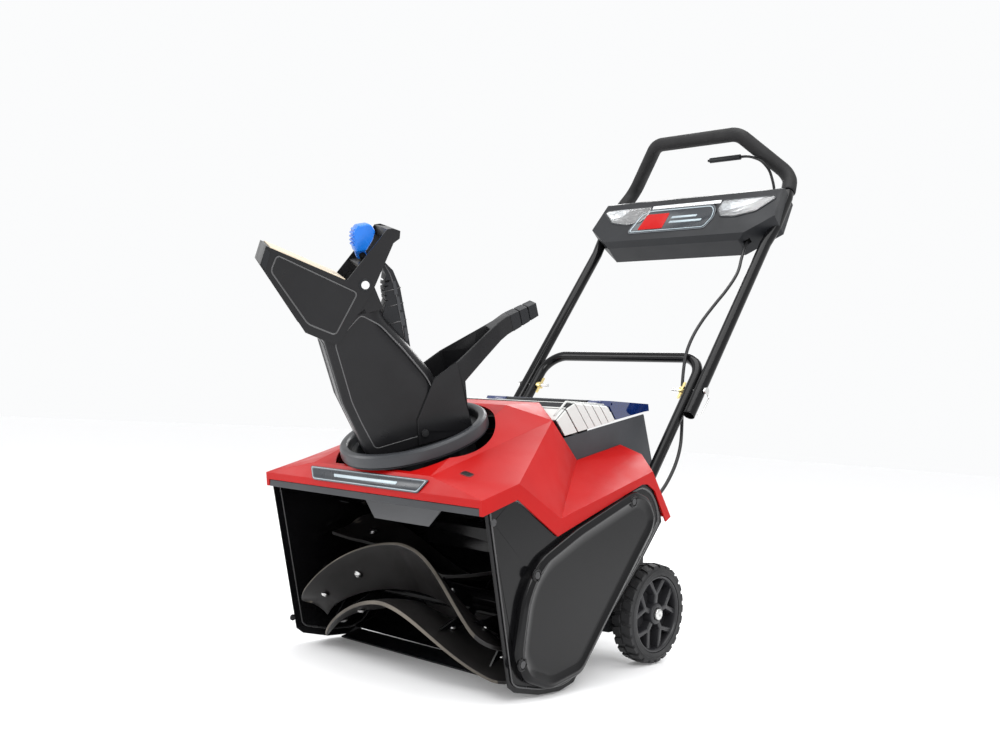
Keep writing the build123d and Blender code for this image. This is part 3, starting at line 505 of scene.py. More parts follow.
def stepped(outline, steps, corner, place, arc_steps=5, cap_first=True):
    """A plate in rings of (inset, height), each with its corners rounded."""
    rings = [[place(u, height, v) for u, v in rounded(shrink(outline, inset), corner, arc_steps)]
             for inset, height in steps]
    return ring_mesh(rings, cap_first=cap_first)


def revolve(profile, centre, axis, steps=72):
    """A profile of (radius, distance along the axis) turned about the axis."""
    z_dir = Vector(axis).normalized()
    x_dir = z_dir.orthogonal().normalized()
    y_dir = z_dir.cross(x_dir)
    rings = []
    for k in range(steps):
        a = 2 * pi * k / steps
        out = x_dir * cos(a) + y_dir * sin(a)
        rings.append([Vector(centre) + (out * r + z_dir * h) * MM for r, h in profile])
    return ring_mesh(rings, joined=True)


def sections(points, radii, sides, flat=1.0):
    """A ring around each point of a path; flat squashes the rings along their second axis."""
    rings = []
    normal = None
    for k, point in enumerate(points):
        before, after = points[max(0, k - 1)], points[min(len(points) - 1, k + 1)]
        ahead = (after - before).normalized()
        if normal is None:
            normal = ahead.orthogonal().normalized()
        normal = (normal - ahead * normal.dot(ahead)).normalized()
        other = ahead.cross(normal)
        rings.append([point + (normal * cos(2 * pi * j / sides)
                               + other * sin(2 * pi * j / sides) * flat) * radii[k] * MM
                      for j in range(sides)])
    return rings


def tube(points, radius, sides=8, flat=1.0):
    """A bar of one thickness along a path."""
    return ring_mesh(sections(points, [radius] * len(points), sides, flat))


def ridge(points, place, height, radius, flat=0.6):
    """A raised line along a closed outline on a face."""
    line = [place(u, height, v) for u, v in points]
    return tube(line + line[:2], radius, flat=flat)


def arc_path(corners, radius, steps=8):
    """Straight runs joined by arcs, as points."""
    out = [corners[0]]
    for a, b, c in zip(corners, corners[1:], corners[2:]):
        one, two = (a - b).normalized(), (c - b).normalized()
        half = one.angle(two) / 2
        if half < 0.001 or half > pi / 2 - 0.001:
            continue
        cut = radius * MM / tan(half)
        centre = b + (one + two).normalized() * (radius * MM / sin(half))
        first, last = b + one * cut - centre, b + two * cut - centre
        sweep = first.angle(last)
        for j in range(steps + 1):
            t = j / steps
            out.append(centre + (first * sin((1 - t) * sweep) + last * sin(t * sweep)) / sin(sweep))
    out.append(corners[-1])
    return out


def tint_above(item, origin, out, height, look):
    """A second look for the faces that stand higher than a height over an origin."""
    item.data.materials.append(LOOKS[look])
    for face in item.data.polygons:
        if (face.center - origin).dot(out) > height * MM:
            face.material_index = 1


# ---------------------------------------------------------------- auger box details
PLATE = [(-146, 322), (-63, 29), (-46, 18), (17, 5), (75, 3), (112, 12), (142, 46), (177, 84),
         (295, 201), (364, 280), (350, 318), (326, 345), (290, 358), (40, 284), (-68, 342),
         (-120, 336)]
COVER = [(-60, 76), (-57, 112), (-50, 168), (-34, 204), (-4, 236), (88, 279), (209, 324),
         (258, 341), (300, 329), (326, 293), (318, 264), (176, 96), (120, 28), (34, 12), (-30, 34)]
COVER_STEPS = [(0, 272.2), (0.1, 279), (1.6, 283.4), (5.0, 285.2), (8.0, 285.4), (9.5, 286.9),
               (12.5, 286.9), (14.0, 285.2), (30.0, 285.0)]
COVER_BOLTS = [(-46, 66), (-22, 208), (246, 322)]
BOSS = [(11.5, 283.0), (11.5, 286.2), (9.5, 286.9), (7.2, 286.9), (6.8, 285.6), (6.8, 283.0)]
PRESSED_RIBS = [("rib", 10.5, 16, 272.4, 3.0), ("inner_rib", 15, 14, 269.8, 2.6)]

for kind, inset, corner, depth, radius in PRESSED_RIBS:
    rib_line = subdivide(rounded(shrink(PLATE, inset), corner), 12)
    for hand, sign in (("left", 1), ("right", -1)):
        # The ribs are black steel; their lighter look is a painted highlight along them.
        piece(f"{hand}_plate_{kind}", *ridge(rib_line, side, sign * depth, radius), "chassis",
              "rib_edge", slot="black_steel")
piece("belt_cover_shell", *stepped(COVER, COVER_STEPS, 14, side, arc_steps=6, cap_first=False),
      "chassis", "black_steel", replaced=["belt_cover"])
bosses = [revolve(BOSS, machine(0, y, z), X_AXIS, 36) for y, z in COVER_BOLTS]
piece("belt_cover_bosses", *merged(*bosses), "chassis", "black_steel")

# ---------------------------------------------------------------- rubber paddles
ROTOR_Y, ROTOR_Z, ROTOR_R = 30.0, 135.0, 130.0
PADDLE_ANGLES = (44.0, -5.0, 224.0, 175.0)
PADDLE_BOLT_X, BOLT_SHARE = (-205.0, -118.0, 118.0, 205.0), 0.45
PADDLE_END, PADDLE_DRAWN, PADDLE_HALF = 250.0, 249.0, 3.6
TIP_FROM = 0.84
INNER_R, INNER_FLARE, TIP_INNER, TIP_OUTER = 34.0, 40.0, 14.0, 26.0
SWEEP_BACK, SWEEP_X, SWEEP_POWER = 50.0, 205.0, 1.8
PADDLE_SPAN, PADDLE_CURL = 40.0, 5.0
EDGE_REACH, EDGE_AREA, EDGE_FACING = 100.0, 0.00012, 0.62
BOLT_HEAD = [(0.2, 3.0), (9.0, 3.0), (9.0, 4.6), (6.8, 4.8), (6.6, 6.6), (5.0, 7.9), (0.2, 8.3)]
BOLT_NUT = [(0.2, 3.0), (6.5, 3.0), (6.5, 7.0), (0.2, 7.2)]


def paddle_point(x, angle, share, lift):
    """A point on a scooped paddle: share runs from its inner to its outer edge."""
    part = abs(x) / PADDLE_END
    tip = max(0.0, part - TIP_FROM) / (1 - TIP_FROM)
    r_in = INNER_R + INNER_FLARE * part + TIP_INNER * tip ** 2
    r_out = ROTOR_R - TIP_OUTER * tip ** 2
    a_out = radians(angle - SWEEP_BACK * (abs(x) / SWEEP_X) ** SWEEP_POWER)
    a_in = a_out - radians(PADDLE_SPAN)
    inner = Vector((ROTOR_Y - r_in * cos(a_in), ROTOR_Z + r_in * sin(a_in)))
    outer = Vector((ROTOR_Y - r_out * cos(a_out), ROTOR_Z + r_out * sin(a_out)))
    run = outer - inner
    normal = Vector((-run.y, run.x)).normalized()
    curl = PADDLE_CURL * (1 - (2 * share - 1) ** 2)
    spot = inner + run * share + normal * (lift - curl)
    return machine(x, spot.x, spot.y)


def paddle_mesh(angle, spans=72, across=12):
    """One paddle across the whole rotor, at an angle in degrees."""
    rings = []
    for k in range(spans + 1):
        x = PADDLE_DRAWN * (2 * k / spans - 1)
        outward = [paddle_point(x, angle, j / across, PADDLE_HALF) for j in range(across + 1)]
        homeward = [paddle_point(x, angle, 1 - j / across, -PADDLE_HALF) for j in range(across + 1)]
        rings.append(outward + homeward)
    return ring_mesh(rings)


def fabric_edge(item):
    """The second look for the narrow faces along the paddles' outer edges."""
    item.data.materials.append(LOOKS["paddle_edge"])
    for face in item.data.polygons:
        spot = face.center / MM
        out = Vector((0, spot.y + BACK - ROTOR_Y, spot.z - ROTOR_Z))
        facing = abs(face.normal.dot(out.normalized()))
        if facing > EDGE_FACING and out.length > EDGE_REACH and face.area < EDGE_AREA:
            face.material_index = 1


paddles = piece("paddle_set", *merged(*[paddle_mesh(angle) for angle in PADDLE_ANGLES]), "auger",
                "paddle_rubber", replaced=["rubber_paddles"], width=1.1, angle=50)
fabric_edge(paddles)
heads = []
for angle in PADDLE_ANGLES:
    for x in PADDLE_BOLT_X:
        middle = paddle_point(x, angle, BOLT_SHARE, 0.0)
        out = (paddle_point(x, angle, BOLT_SHARE, 5.0) - middle).normalized()
        heads.append(revolve(BOLT_HEAD, middle, out, 24))
        heads.append(revolve(BOLT_NUT, middle, -out, 6))
piece("paddle_bolt_heads", *merged(*heads), "auger", "zinc", replaced=["paddle_bolts"])

# ---------------------------------------------------------------- hood badge
BADGE_AT = machine(0, -153.8, 341)
BADGE_OUT = Vector((0, -28, 10)).normalized()
BADGE = [(-152, 12.5), (-134, -12.5), (134, -12.5), (152, 12.5)]
BADGE_STEPS = [(0.3, -1.6), (0.3, 1.2), (1.6, 2.0), (3.4, 2.0), (4.4, 1.1)]
STRIPE = [(-82, 2.8), (-79, -2.8), (79, -2.8), (82, 2.8)]
STRIPE_STEPS = [(0, 0.8), (0, 1.5), (0.6, 1.9)]

on_badge = on_face(column_frame(BADGE_AT, X_AXIS, BADGE_OUT))
badge = piece("hood_plate", *stepped(BADGE, BADGE_STEPS, 5, on_badge), "chassis", "badge",
              replaced=["hood_badge"])
tint_above(badge, BADGE_AT, BADGE_OUT, 1.4, "badge_rim")
edge_line = subdivide(rounded(shrink(BADGE, 2.4), 4), 14)
piece("hood_plate_edge", *ridge(edge_line, on_badge, 1.9, 0.7), "chassis", "badge_glow",
      slot="badge")
piece("hood_plate_band", *stepped(STRIPE, STRIPE_STEPS, 2, on_badge), "chassis", "badge_glow",
      slot="badge")

# ---------------------------------------------------------------- chute ring
RIM = [(118.2, -13.8), (136, -13.8), (136, -4), (135, 3.5), (131.5, 7.2), (127, 8), (122.5, 7.2),
       (119.4, 4.2), (118.2, -2), (118.2, -10.9)]
SEAT = [(126.5, -1.5), (133.5, -1.5), (133.5, 1.5), (126.5, 1.5)]
SEAT_V = -16.5
FLOOR_R, FLOOR_TOP, FLOOR_UNDER = 118.3, -11.0, -13.9
THROAT_REAR, THROAT_FRONT, THROAT_HALF = -79.0, 90.0, 53.0


def ring_floor(steps=96):
    """The ring's floor, around the square throat; its rim is hidden and left open."""
    rings = []
    for k in range(steps):
        angle = 2 * pi * k / steps
        u_out, n_out = FLOOR_R * cos(angle), FLOOR_R * sin(angle)
        u_in = max(THROAT_REAR, min(THROAT_FRONT, u_out))
        n_in = max(-THROAT_HALF, min(THROAT_HALF, n_out))
        rings.append([chute(u_out, n_out, FLOOR_TOP), chute(u_in, n_in, FLOOR_TOP),
                      chute(u_in, n_in, FLOOR_UNDER), chute(u_out, n_out, FLOOR_UNDER)])
    return ring_mesh(rings, joined=True, open_rings=True)


piece("chute_ring_rim", *revolve(RIM, chute(0, 0, 0), SWIVEL["axis"], 120), "chute",
      "grey_plastic", replaced=["chute_ring"], width=0.8, angle=35)
piece("chute_ring_floor", *ring_floor(), "chute", "dark_plastic")
piece("seat_ring", *revolve(SEAT, chute(0, 0, SEAT_V), SWIVEL["axis"], 96), "chassis",
      "dark_plastic")

# ---------------------------------------------------------------- chute body
FRONT_LINE = [(95, -11), (107, 56), (115, 97), (119, 212)]
REAR_LINE = [(-84, -11), (-62, 60), (-50, 108), (-21, 167), (8, 222), (12, 262)]
DUCT_HALF, DUCT_WALL, DUCT_RINGS = 56.0, 3.2, 26
REAR_CORNER, FRONT_CORNER = 30.0, 7.0
EAR = [(60, 240), (44, 292), (38, 299), (24, 299), (16, 292), (8, 240)]
SIDE_BEAD = [(80, 6), (92, 58), (99, 98), (102, 204), (48, 240), (20, 214), (-8, 164),
             (-36, 106), (-44, 74), (-20, 52), (-8, 6)]
FRONT_BEAD = [(97, 10), (107, 60), (115, 100), (118.6, 204)]
FRONT_BEAD_HALF, FRONT_BEAD_OUT = 40, 0.4


def along(line, share):
    """A point at a share of a bent line's length."""
    lengths = [0.0]
    for a, b in zip(line, line[1:]):
        lengths.append(lengths[-1] + hypot(b[0] - a[0], b[1] - a[1]))
    target = share * lengths[-1]
    for k in range(len(line) - 1):
        if target <= lengths[k + 1] + 1e-9:
            t = (target - lengths[k]) / (lengths[k + 1] - lengths[k])
            return Vector(line[k]).lerp(Vector(line[k + 1]), t)
    return Vector(line[-1])


def duct_ring(share, wall, steps=9):
    """One rounded section of the chute, drawn in by a wall thickness."""
    front, rear = along(FRONT_LINE, share), along(REAR_LINE, share)
    length = (front - rear).length
    half = DUCT_HALF - wall
    rear_r, front_r = max(4.0, REAR_CORNER - wall), max(2.0, FRONT_CORNER - wall)
    corners = [(wall, half, rear_r, 90), (wall, -half, rear_r, 180),
               (length - wall, -half, front_r, 270), (length - wall, half, front_r, 0)]
    out = []
    for k, (w, n, r, start) in enumerate(corners):
        centre = Vector((w + r if k < 2 else w - r, n - r if n > 0 else n + r))
        for j in range(steps + 1):
            a = radians(start + 90 * j / steps)
            spot = centre + Vector((cos(a), sin(a))) * r
            point = rear.lerp(front, spot.x / length)
            out.append(chute(point.x, spot.y, point.y))
    return out


shares = [k / DUCT_RINGS for k in range(DUCT_RINGS + 1)]
duct_rings = [duct_ring(share, 0.0) for share in shares]
duct_rings += [duct_ring(share, DUCT_WALL) for share in reversed(shares)]
piece("chute_duct", *ring_mesh(duct_rings, joined=True), "chute", "chute_plastic",
      replaced=["chute_body"], width=0.9, angle=50)
ears = [slab(rounded(EAR, 4), n, n + 3.0, chute) for n in (53.0, -56.0)]
piece("chute_ears", *merged(*ears), "chute", "chute_plastic", width=0.8)
bead_line = subdivide(rounded(SIDE_BEAD, 8), 12)
beads = [ridge(bead_line, chute, n, 1.35, flat=1.0) for n in (55.05, -55.05)]
front_bead = [chute(u + FRONT_BEAD_OUT, -FRONT_BEAD_HALF, v) for u, v in FRONT_BEAD]
front_bead += [chute(u + FRONT_BEAD_OUT, FRONT_BEAD_HALF, v) for u, v in reversed(FRONT_BEAD)]
beads.append(tube(arc_path(front_bead + front_bead[:1], 6, 4), 1.6))
# The beads are chute plastic; their lighter look is a painted sheen.
piece("chute_beads", *merged(*beads), "chute", "bead_plastic", slot="chute_plastic")

# ---------------------------------------------------------------- deflector details
CHEEK_HALF = 59.4
CHEEK_BEAD = [(157, 371), (173, 349), (137, 249), (98, 219), (45, 278)]
FRONT_LIP = [(171, 387.5), (185, 363), (181, 352), (166, 378)]
WASHER = [(7.6, 59.0), (11.0, 59.0), (11.0, 60.2), (10.2, 60.8), (8.2, 60.8), (7.6, 60.2)]
PIVOT_U, PIVOT_V = 29, 288
ROOF_LEAN = 0.6
ROOF_RUN = [(60, 304.4), (112, 344.6), (165, 385.8)]
ROOF_SECTION = [(59.2, -1.5), (59.2, 1.2), (57.6, 1.9), (-57.6, 1.9), (-59.2, 1.2), (-59.2, -1.5)]

cheek_line = subdivide(rounded(CHEEK_BEAD, 7), 10)
cheek_beads = [ridge(cheek_line, chute, n, 1.8) for n in (59.5, -59.5)]
cheek_bands = [slab(rounded(FRONT_LIP, 3), n, n + 1.6, chute)
               for n in (CHEEK_HALF, -CHEEK_HALF - 1.6)]
piece("deflector_lip_band", *merged(*cheek_bands), "deflector", "dark_plastic", width=0.5)
# The beads are chute plastic; their lighter look is a painted sheen.
piece("deflector_beads", *merged(*cheek_beads), "deflector", "bead_plastic",
      slot="chute_plastic")
washers = [revolve(WASHER, chute(PIVOT_U, 0, PIVOT_V), ACROSS * sign, 40) for sign in (1, -1)]
piece("pivot_washers", *merged(*washers), "deflector", "dark_plastic")
roof_rings = [[chute(u - ROOF_LEAN * h, n, v + h) for n, h in ROOF_SECTION] for u, v in ROOF_RUN]
# The roof is grey plastic; the strip's cream lightness is a painted grazing highlight, and its tan tint is a label.
piece("deflector_top_strip", *ring_mesh(roof_rings), "deflector", "strip_tan",
      slot="grey_plastic", width=0.3)

# ---------------------------------------------------------------- tilt rack segments
RACK_HALF = 20.2
RACK_JOINTS = [((-30.6, 205), (2, 205)), ((-33.9, 262), (-6, 262)), ((-32.4, 235), (-5, 235)),
               ((-28.4, 178), (-17, 172))]
RACK_SPINE = [(-19, 160), (-22, 205), (-25, 262), (-22, 290), (-17, 306)]
RACK_PLATES, PLATE_FOOT, PLATE_PITCH, PLATE_RISE, PLATE_THICK = 4, 168, 28, 24, 1.4

seams = []
for (u0, v0), (u1, v1) in RACK_JOINTS:
    for n in (RACK_HALF, -RACK_HALF):
        seams.append(tube([chute(u0, n, v0), chute(u1, n, v1)], 1.0))
    seams.append(tube([chute(u0 - 0.2, -20, v0), chute(u0 - 0.2, 20, v0)], 1.0))
for n in (20.1, -20.1):
    seams.append(tube([chute(u, n, v) for u, v in RACK_SPINE], 1.2))
# The seams are chute plastic; their lighter look is a painted sheen.
piece("rack_seams", *merged(*seams), "chute", "bead_plastic", slot="chute_plastic")
plates = []
for k in range(RACK_PLATES):
    foot = PLATE_FOOT + PLATE_PITCH * k
    plate_line = [(-27.5, foot), (-28.5, foot + PLATE_RISE), (-23.5, foot + PLATE_RISE),
                  (-21.0, foot)]
    for n in (20.0, -20.0 - PLATE_THICK):
        plates.append(slab(rounded(plate_line, 1.5), n, n + PLATE_THICK, chute))
piece("rack_plates", *merged(*plates), "chute", "grey_plastic", width=0.3)

# ---------------------------------------------------------------- tilt trigger
TRIGGER = [(7, 338), (-8, 353), (-15, 366), (-12, 376), (-8, 380.5), (11, 382), (20, 374),
           (23, 362), (25.5, 348), (25, 339)]
TRIGGER_STEPS = [(2.2, -21), (0.6, -20), (0.0, -18.5), (0.0, 18.5), (0.6, 20), (2.2, 21)]
TRIGGER_STEM = [(8, 342), (6, 328), (10, 322.6), (18, 322.6), (24, 328), (25, 342)]
THUMB_RIBS = [(25.4, 352), (24.4, 358.4), (23.2, 364.6), (21.2, 370.4), (17.4, 375.8)]

thumb_ribs = [tube([chute(u, -17, v), chute(u, 17, v)], 2.3, sides=12) for u, v in THUMB_RIBS]
piece("trigger_paddle", *merged(stepped(TRIGGER, TRIGGER_STEPS, 2.5, chute, arc_steps=3),
                                slab(rounded(TRIGGER_STEM, 2), -4.4, 4.4, chute), *thumb_ribs),
      "trigger", "blue_trigger", replaced=["tilt_trigger"], width=0.5)

# ---------------------------------------------------------------- louvre fins
FIN_COUNT, FIN_FROM, FIN_PITCH, FIN_WIDTH, FIN_THICK = 6, 159.5, 26.6, 24.2, 3.5
FIN_X, FIN_PROUD, FIN_TUCK = 163.7, 1.4, 0.9
FIN_STATIONS = [(FIN_X, None), (FIN_X, 3.0), (160.5, 0.2), (0, 0.0), (-160.5, 0.2),
                (-FIN_X, 3.0), (-FIN_X, None)]
BAY_FRONT_Y, BAY_FRONT_Z, BAY_BEND_Y, BAY_BEND_Z, BAY_FALL = 158, 460, 200, 495, 0.0125
FOOT_Y, FOOT_Z, FOOT_SLOPE = 186, 433, 0.2125
SILL = [(168, 468.5), (199, 496.0), (319, 495.4)]


def bay_top(y):
    """The height of the louvre panel's top edge."""
    if y < BAY_BEND_Y:
        slope = (BAY_BEND_Z - BAY_FRONT_Z) / (BAY_BEND_Y - BAY_FRONT_Y)
        return BAY_FRONT_Z + (y - BAY_FRONT_Y) * slope
    return BAY_BEND_Z - BAY_FALL * (y - BAY_BEND_Y)


def fin_foot(y):
    """Where a fin that leaves the top edge at y and slopes at 45 degrees meets the panel's foot."""
    z = bay_top(y) + FIN_PROUD
    run = (z - FOOT_Z - FOOT_SLOPE * (y - FOOT_Y)) / (1 + FOOT_SLOPE)
    return y + run, z - run


def fin(front):
    """One fin over the top and down both sides; a station with no drop is at its foot."""
    rings = []
    for x, drop in FIN_STATIONS:
        ring = []
        for y in (front, front + FIN_WIDTH):
            if drop is None:
                ring.append(machine(x, *fin_foot(y)))
            else:
                ring.append(machine(x, y + drop * FIN_TUCK, bay_top(y) + FIN_PROUD - drop))
        out = Vector((1 if x > 0 else -1, 0, 0)) if abs(x) == FIN_X else Vector((0, 0, 1))
        rings.append(ring + [p - out * FIN_THICK * MM for p in reversed(ring)])
    return ring_mesh(rings)


fins = [fin(FIN_FROM + FIN_PITCH * k) for k in range(FIN_COUNT)]
piece("louvre_fins", *merged(*fins), "chassis", "fin_plastic", width=1.0, angle=35)
sills = [tube([machine(x, y, z) for y, z in SILL], 3.2, sides=10, flat=0.8)
         for x in (-152.0, 152.0)]
piece("louvre_sills", *merged(*sills), "chassis", "fin_plastic")

# ---------------------------------------------------------------- lamps
LAMP = [(100, 1206), (232, 1206), (236, 1196), (200, 1160), (150, 1148), (112, 1152), (96, 1176)]
LENS_STEPS = [(0.4, 36.6), (0.4, 39.4), (1.4, 39.9), (6.0, 39.9)]
BOWL_TOP = [(98, 1205), (150, 1206), (200, 1206), (234, 1204)]
BOWL_LOW = [(98, 1174), (112, 1152), (150, 1148), (200, 1160), (234, 1194)]
BOWL_DEPTH, FACET_DEEP, FACET_STAGGER = 27.0, 6.0, 3.0


def level(line, u):
    """The height of a bent line at u."""
    for (a, va), (b, vb) in zip(line, line[1:]):
        if u <= b + 1e-6:
            return va + (vb - va) * (u - a) / (b - a)
    return line[-1][1]


def bowl(mirror, cells_u=20, cells_v=8):
    """A faceted reflector behind the lens of one lamp."""
    left, right = BOWL_TOP[0][0], BOWL_TOP[-1][0]
    grid = []
    for i in range(cells_u + 1):
        u = left + (right - left) * i / cells_u
        low, high = level(BOWL_LOW, u) + 1, level(BOWL_TOP, u) - 1
        for j in range(cells_v + 1):
            ridged = FACET_DEEP if i % 4 == 0 or j % 4 == 0 else 0.0
            depth = BOWL_DEPTH + ridged + (FACET_STAGGER if i % 2 else 0.0)
            grid.append(on_panel(mirror * u, depth, low + (high - low) * j / cells_v))
    faces = []
    for i in range(cells_u):
        for j in range(cells_v):
            a, b = i * (cells_v + 1) + j, (i + 1) * (cells_v + 1) + j
            faces += [(a, a + 1, b + 1), (a, b + 1, b)]
    return grid, faces


lenses, bowls, bezels = [], [], []
for mirror in (1, -1):
    outline = [(mirror * u, v) for u, v in LAMP]
    lenses.append(stepped(outline, LENS_STEPS, 6, on_panel))
    bowls.append(bowl(mirror))
    bezels.append(ridge(subdivide(rounded(shrink(outline, -1.6), 7), 14), on_panel, 38.6, 1.5))
piece("lamp_lenses", *merged(*lenses), "upper_handle", "clear_lens", replaced=["headlights"],
      slot="clear_lens")
# The reflectors' glow is a painted reflection; the lamps are not lit.
piece("lamp_reflectors", *merged(*bowls), "upper_handle", "reflector", smooth=False,
      slot="clear_lens")
piece("lamp_bezels", *merged(*bezels), "upper_handle", "grey_plastic", slot="dark_plastic")

# ---------------------------------------------------------------- control panel
PANEL_FACE = 38.9
PANEL_PLATE = [(-122, 1180), (-98, 1196), (78, 1196), (92, 1178), (96, 1150), (82, 1114),
               (-130, 1114), (-136, 1124)]
PANEL_STEPS = [(0.3, 36.4), (0.3, 39.0), (1.0, 39.8), (2.6, 39.8), (3.4, 39.0)]
RED_BLOCK = [(-108, 1126), (-38, 1126), (-36, 1178), (-100, 1178)]
RED_STEPS = [(0, PANEL_FACE), (0, 39.6), (0.8, 40.0)]
BARS = [(1158, 44), (1142, 62)]
LIP = [(-172, 26, 1090), (-120, 35, 1100), (120, 35, 1100), (172, 26, 1090)]
BROW = [(-236, 26.5, 1229), (-80, 26.5, 1231), (80, 26.5, 1231), (236, 26.5, 1229)]


def button_cap(centre, half_u, half_n, top):
    """A push button standing on the panel's top edge."""
    outline = [(centre - half_u, 4 - half_n), (centre + half_u, 4 - half_n),
               (centre + half_u, 4 + half_n), (centre - half_u, 4 + half_n)]
    steps = [(0, top - 14), (0, top - 1.2), (1.2, top), (4, top - 0.6)]
    return stepped(outline, steps, 3, handle)


plate = piece("panel_plate", *stepped(PANEL_PLATE, PANEL_STEPS, 7, on_panel), "upper_handle",
              "badge", replaced=["panel_badge"])
tint_above(plate, handle(0, 0, 0), HANDLE_OUT, 39.35, "badge_rim")
glow_line = subdivide(rounded(shrink(PANEL_PLATE, 6.5), 8), 14)
piece("panel_glow", *ridge(glow_line, on_panel, PANEL_FACE, 1.5, flat=0.7), "upper_handle",
      "badge_glow", slot="badge")
piece("panel_red_block", *stepped(RED_BLOCK, RED_STEPS, 4, on_panel), "upper_handle",
      "red_plastic")
bars = []
for v, width in BARS:
    bar_line = [(-26, v), (width, v), (width + 2, v + 7), (-24, v + 7)]
    bars.append(slab(rounded(bar_line, 1.5), PANEL_FACE, 39.5, on_panel))
piece("panel_bars", *merged(*bars), "upper_handle", "badge_glow", slot="badge")
lip = arc_path([on_panel(*p) for p in LIP], 24)
piece("panel_lip", *tube(lip, 3.0, sides=10), "upper_handle", "grey_plastic", slot="dark_plastic")
brow = [on_panel(*p) for p in BROW]
piece("panel_brow", *tube(brow, 2.0, sides=10), "upper_handle", "dark_plastic")
piece("start_button_cap", *button_cap(-2, 15.0, 6.8, 1245.0), "start_button", "dark_plastic",
      replaced=["start_button"])
piece("light_switch_cap", *button_cap(-104, 8.0, 4.2, 1243.0), "light_switch", "grey_plastic",
      replaced=["light_switch"], slot="dark_plastic")

# ---------------------------------------------------------------- foam grip
GRIP = [(-233.64, 1256, 0), (-221, 1314, 0), (-115, 1354, 112), (115, 1354, 112),
        (221, 1314, 0), (233.64, 1256, 0)]
FOAM_R, FOAM_BORE, FOAM_NARROW, FOAM_ROUND = 17.0, 12.75, 2.0, 4.0


def refined(path, step):
    """The path with points about a step apart."""
    out = []
    for a, b in zip(path, path[1:]):
        parts = max(1, int((b - a).length / (step * MM)))
        out += [a.lerp(b, j / parts) for j in range(parts)]
    return out + [path[-1]]


def sleeve(path, sides=28):
    """A tube of foam along a path, narrowing over its last few millimetres."""
    lengths = [0.0]
    for a, b in zip(path, path[1:]):
        lengths.append(lengths[-1] + (b - a).length)
    radii = []
    for length in lengths:
        to_end = min(length, lengths[-1] - length) / MM
        radii.append(FOAM_R - FOAM_NARROW * max(0.0, 1 - to_end / FOAM_ROUND) ** 2)
    inner = sections(path, [FOAM_BORE] * len(path), sides)
    return ring_mesh(sections(path, radii, sides) + inner[::-1], joined=True)


cuff = arc_path([handle(*p) for p in GRIP], 42, 14)
starts = [cuff[0] + (cuff[1] - cuff[0]).normalized() * d * MM for d in (1.0, 2.5, 4.5)]
ends = [cuff[-1] + (cuff[-2] - cuff[-1]).normalized() * d * MM for d in (4.5, 2.5, 1.0)]
cuff = [cuff[0]] + starts + refined(cuff[1:-1], 6.0) + ends + [cuff[-1]]
foam = piece("foam_sleeve", *sleeve(cuff), "upper_handle", "foam", replaced=["foam_grip"])
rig.padded(foam, fill=0.6)

# ---------------------------------------------------------------- control cable
ROUTE = [(190, 1092, 8), (198, 1040, 13), (210, 990, 15), (204, 935, 18), (190, 885, 20),
         (180, 835, 23), (175, 790, 23), (174, 748, 17.5), (176, 706, -1), (183, 667, -15.5),
         (197, 626, -23), (213, 582, -26), (226, 542, -28), (233, 500, -28), (236, 462, -24),
         (236, 428, -19), (233, 398, -12)]
CABLE_R = 3.5


def cord_mesh(name, route, radius):
    """A round cord along a smooth curve that a route's points pull on."""
    curve = bpy.data.curves.new(name, "CURVE")
    curve.dimensions = "3D"
    spline = curve.splines.new("NURBS")
    spline.points.add(len(route) - 1)
    for point, spot in zip(spline.points, route):
        point.co = (*spot, 1.0)
    spline.order_u = 3
    spline.use_endpoint_u = True
    spline.resolution_u = 10
    curve.bevel_depth = radius * MM
    curve.bevel_resolution = 4
    curve.use_fill_caps = True
    holder = bpy.data.objects.new(name, curve)
    scene.collection.objects.link(holder)
    bpy.context.view_layer.update()
    shaped = holder.evaluated_get(bpy.context.evaluated_depsgraph_get())
    mesh = bpy.data.meshes.new_from_object(shaped)
    bpy.data.objects.remove(holder)
    return mesh


cable_mesh = cord_mesh("control_cable", [handle(*spot) for spot in ROUTE], CABLE_R)
cable_mesh.materials.clear()
cable_mesh.materials.append(LOOKS["cable_skin"])
cable_mesh.polygons.foreach_set("use_smooth", [True] * len(cable_mesh.polygons))
cable = bpy.data.objects.new("control_cable", cable_mesh)
scene.collection.objects.link(cable)
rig.slot(cable, "cable_skin")
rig.replaces(cable, "cable_upper", "cable_lower")
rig.blend(cable, "chassis", "upper_handle", handle(197, 626, -23), handle(176, 706, -1))

# ---------------------------------------------------------------- wheels
AXLE_Y, AXLE_Z = 400.0, 97.0
# Profiles of (radius, distance from the machine's middle).
TYRE = [(74.4, 207), (80, 206.4), (86, 207.5), (90.5, 211), (92.6, 216), (93.2, 230),
        (92.6, 244), (90.5, 249), (86, 252.4), (80, 253.6), (74.4, 253)]
SIDEWALL_RING = [(83, 253.0), (84.5, 253.9), (86, 253.0), (86, 250), (83, 250)]
RIM_BAND = [(74.3, 209), (74.3, 250), (73.2, 252), (71.0, 252), (69.5, 250.6), (67.5, 247.5),
            (67.0, 238), (67.0, 222), (69.0, 212), (71.5, 209)]
HUB = [(7.2, 207.5), (19.5, 207.5), (21, 212), (21, 246), (19.5, 249.6), (17, 250.8),
       (12.5, 250.8), (12, 248.8), (7.2, 248.8)]
WEB = [(20, 222), (68, 222), (68, 226.5), (20, 230)]
OUTER_CAP = [(0.2, 249.0), (10.8, 249.0), (11.2, 251), (11.0, 254.6), (9.6, 256.4),
             (6.0, 256.9), (0.2, 256.9)]
INNER_CAP = [(0.2, 205), (9, 205), (9, 209), (0.2, 209)]
# A spoke's outline as (radius, radians from its middle), and its rings of (inset, x).
SPOKES = 5
SPOKE = [(16, -0.36), (36, -0.155), (70, -0.44), (70, -0.27), (44, -0.02), (44, 0.02),
         (70, 0.27), (70, 0.44), (36, 0.155), (16, 0.36)]
SPOKE_STEPS = [(0, 224.0), (0, 244.2), (1.2, 246.4), (2.2, 246.8)]
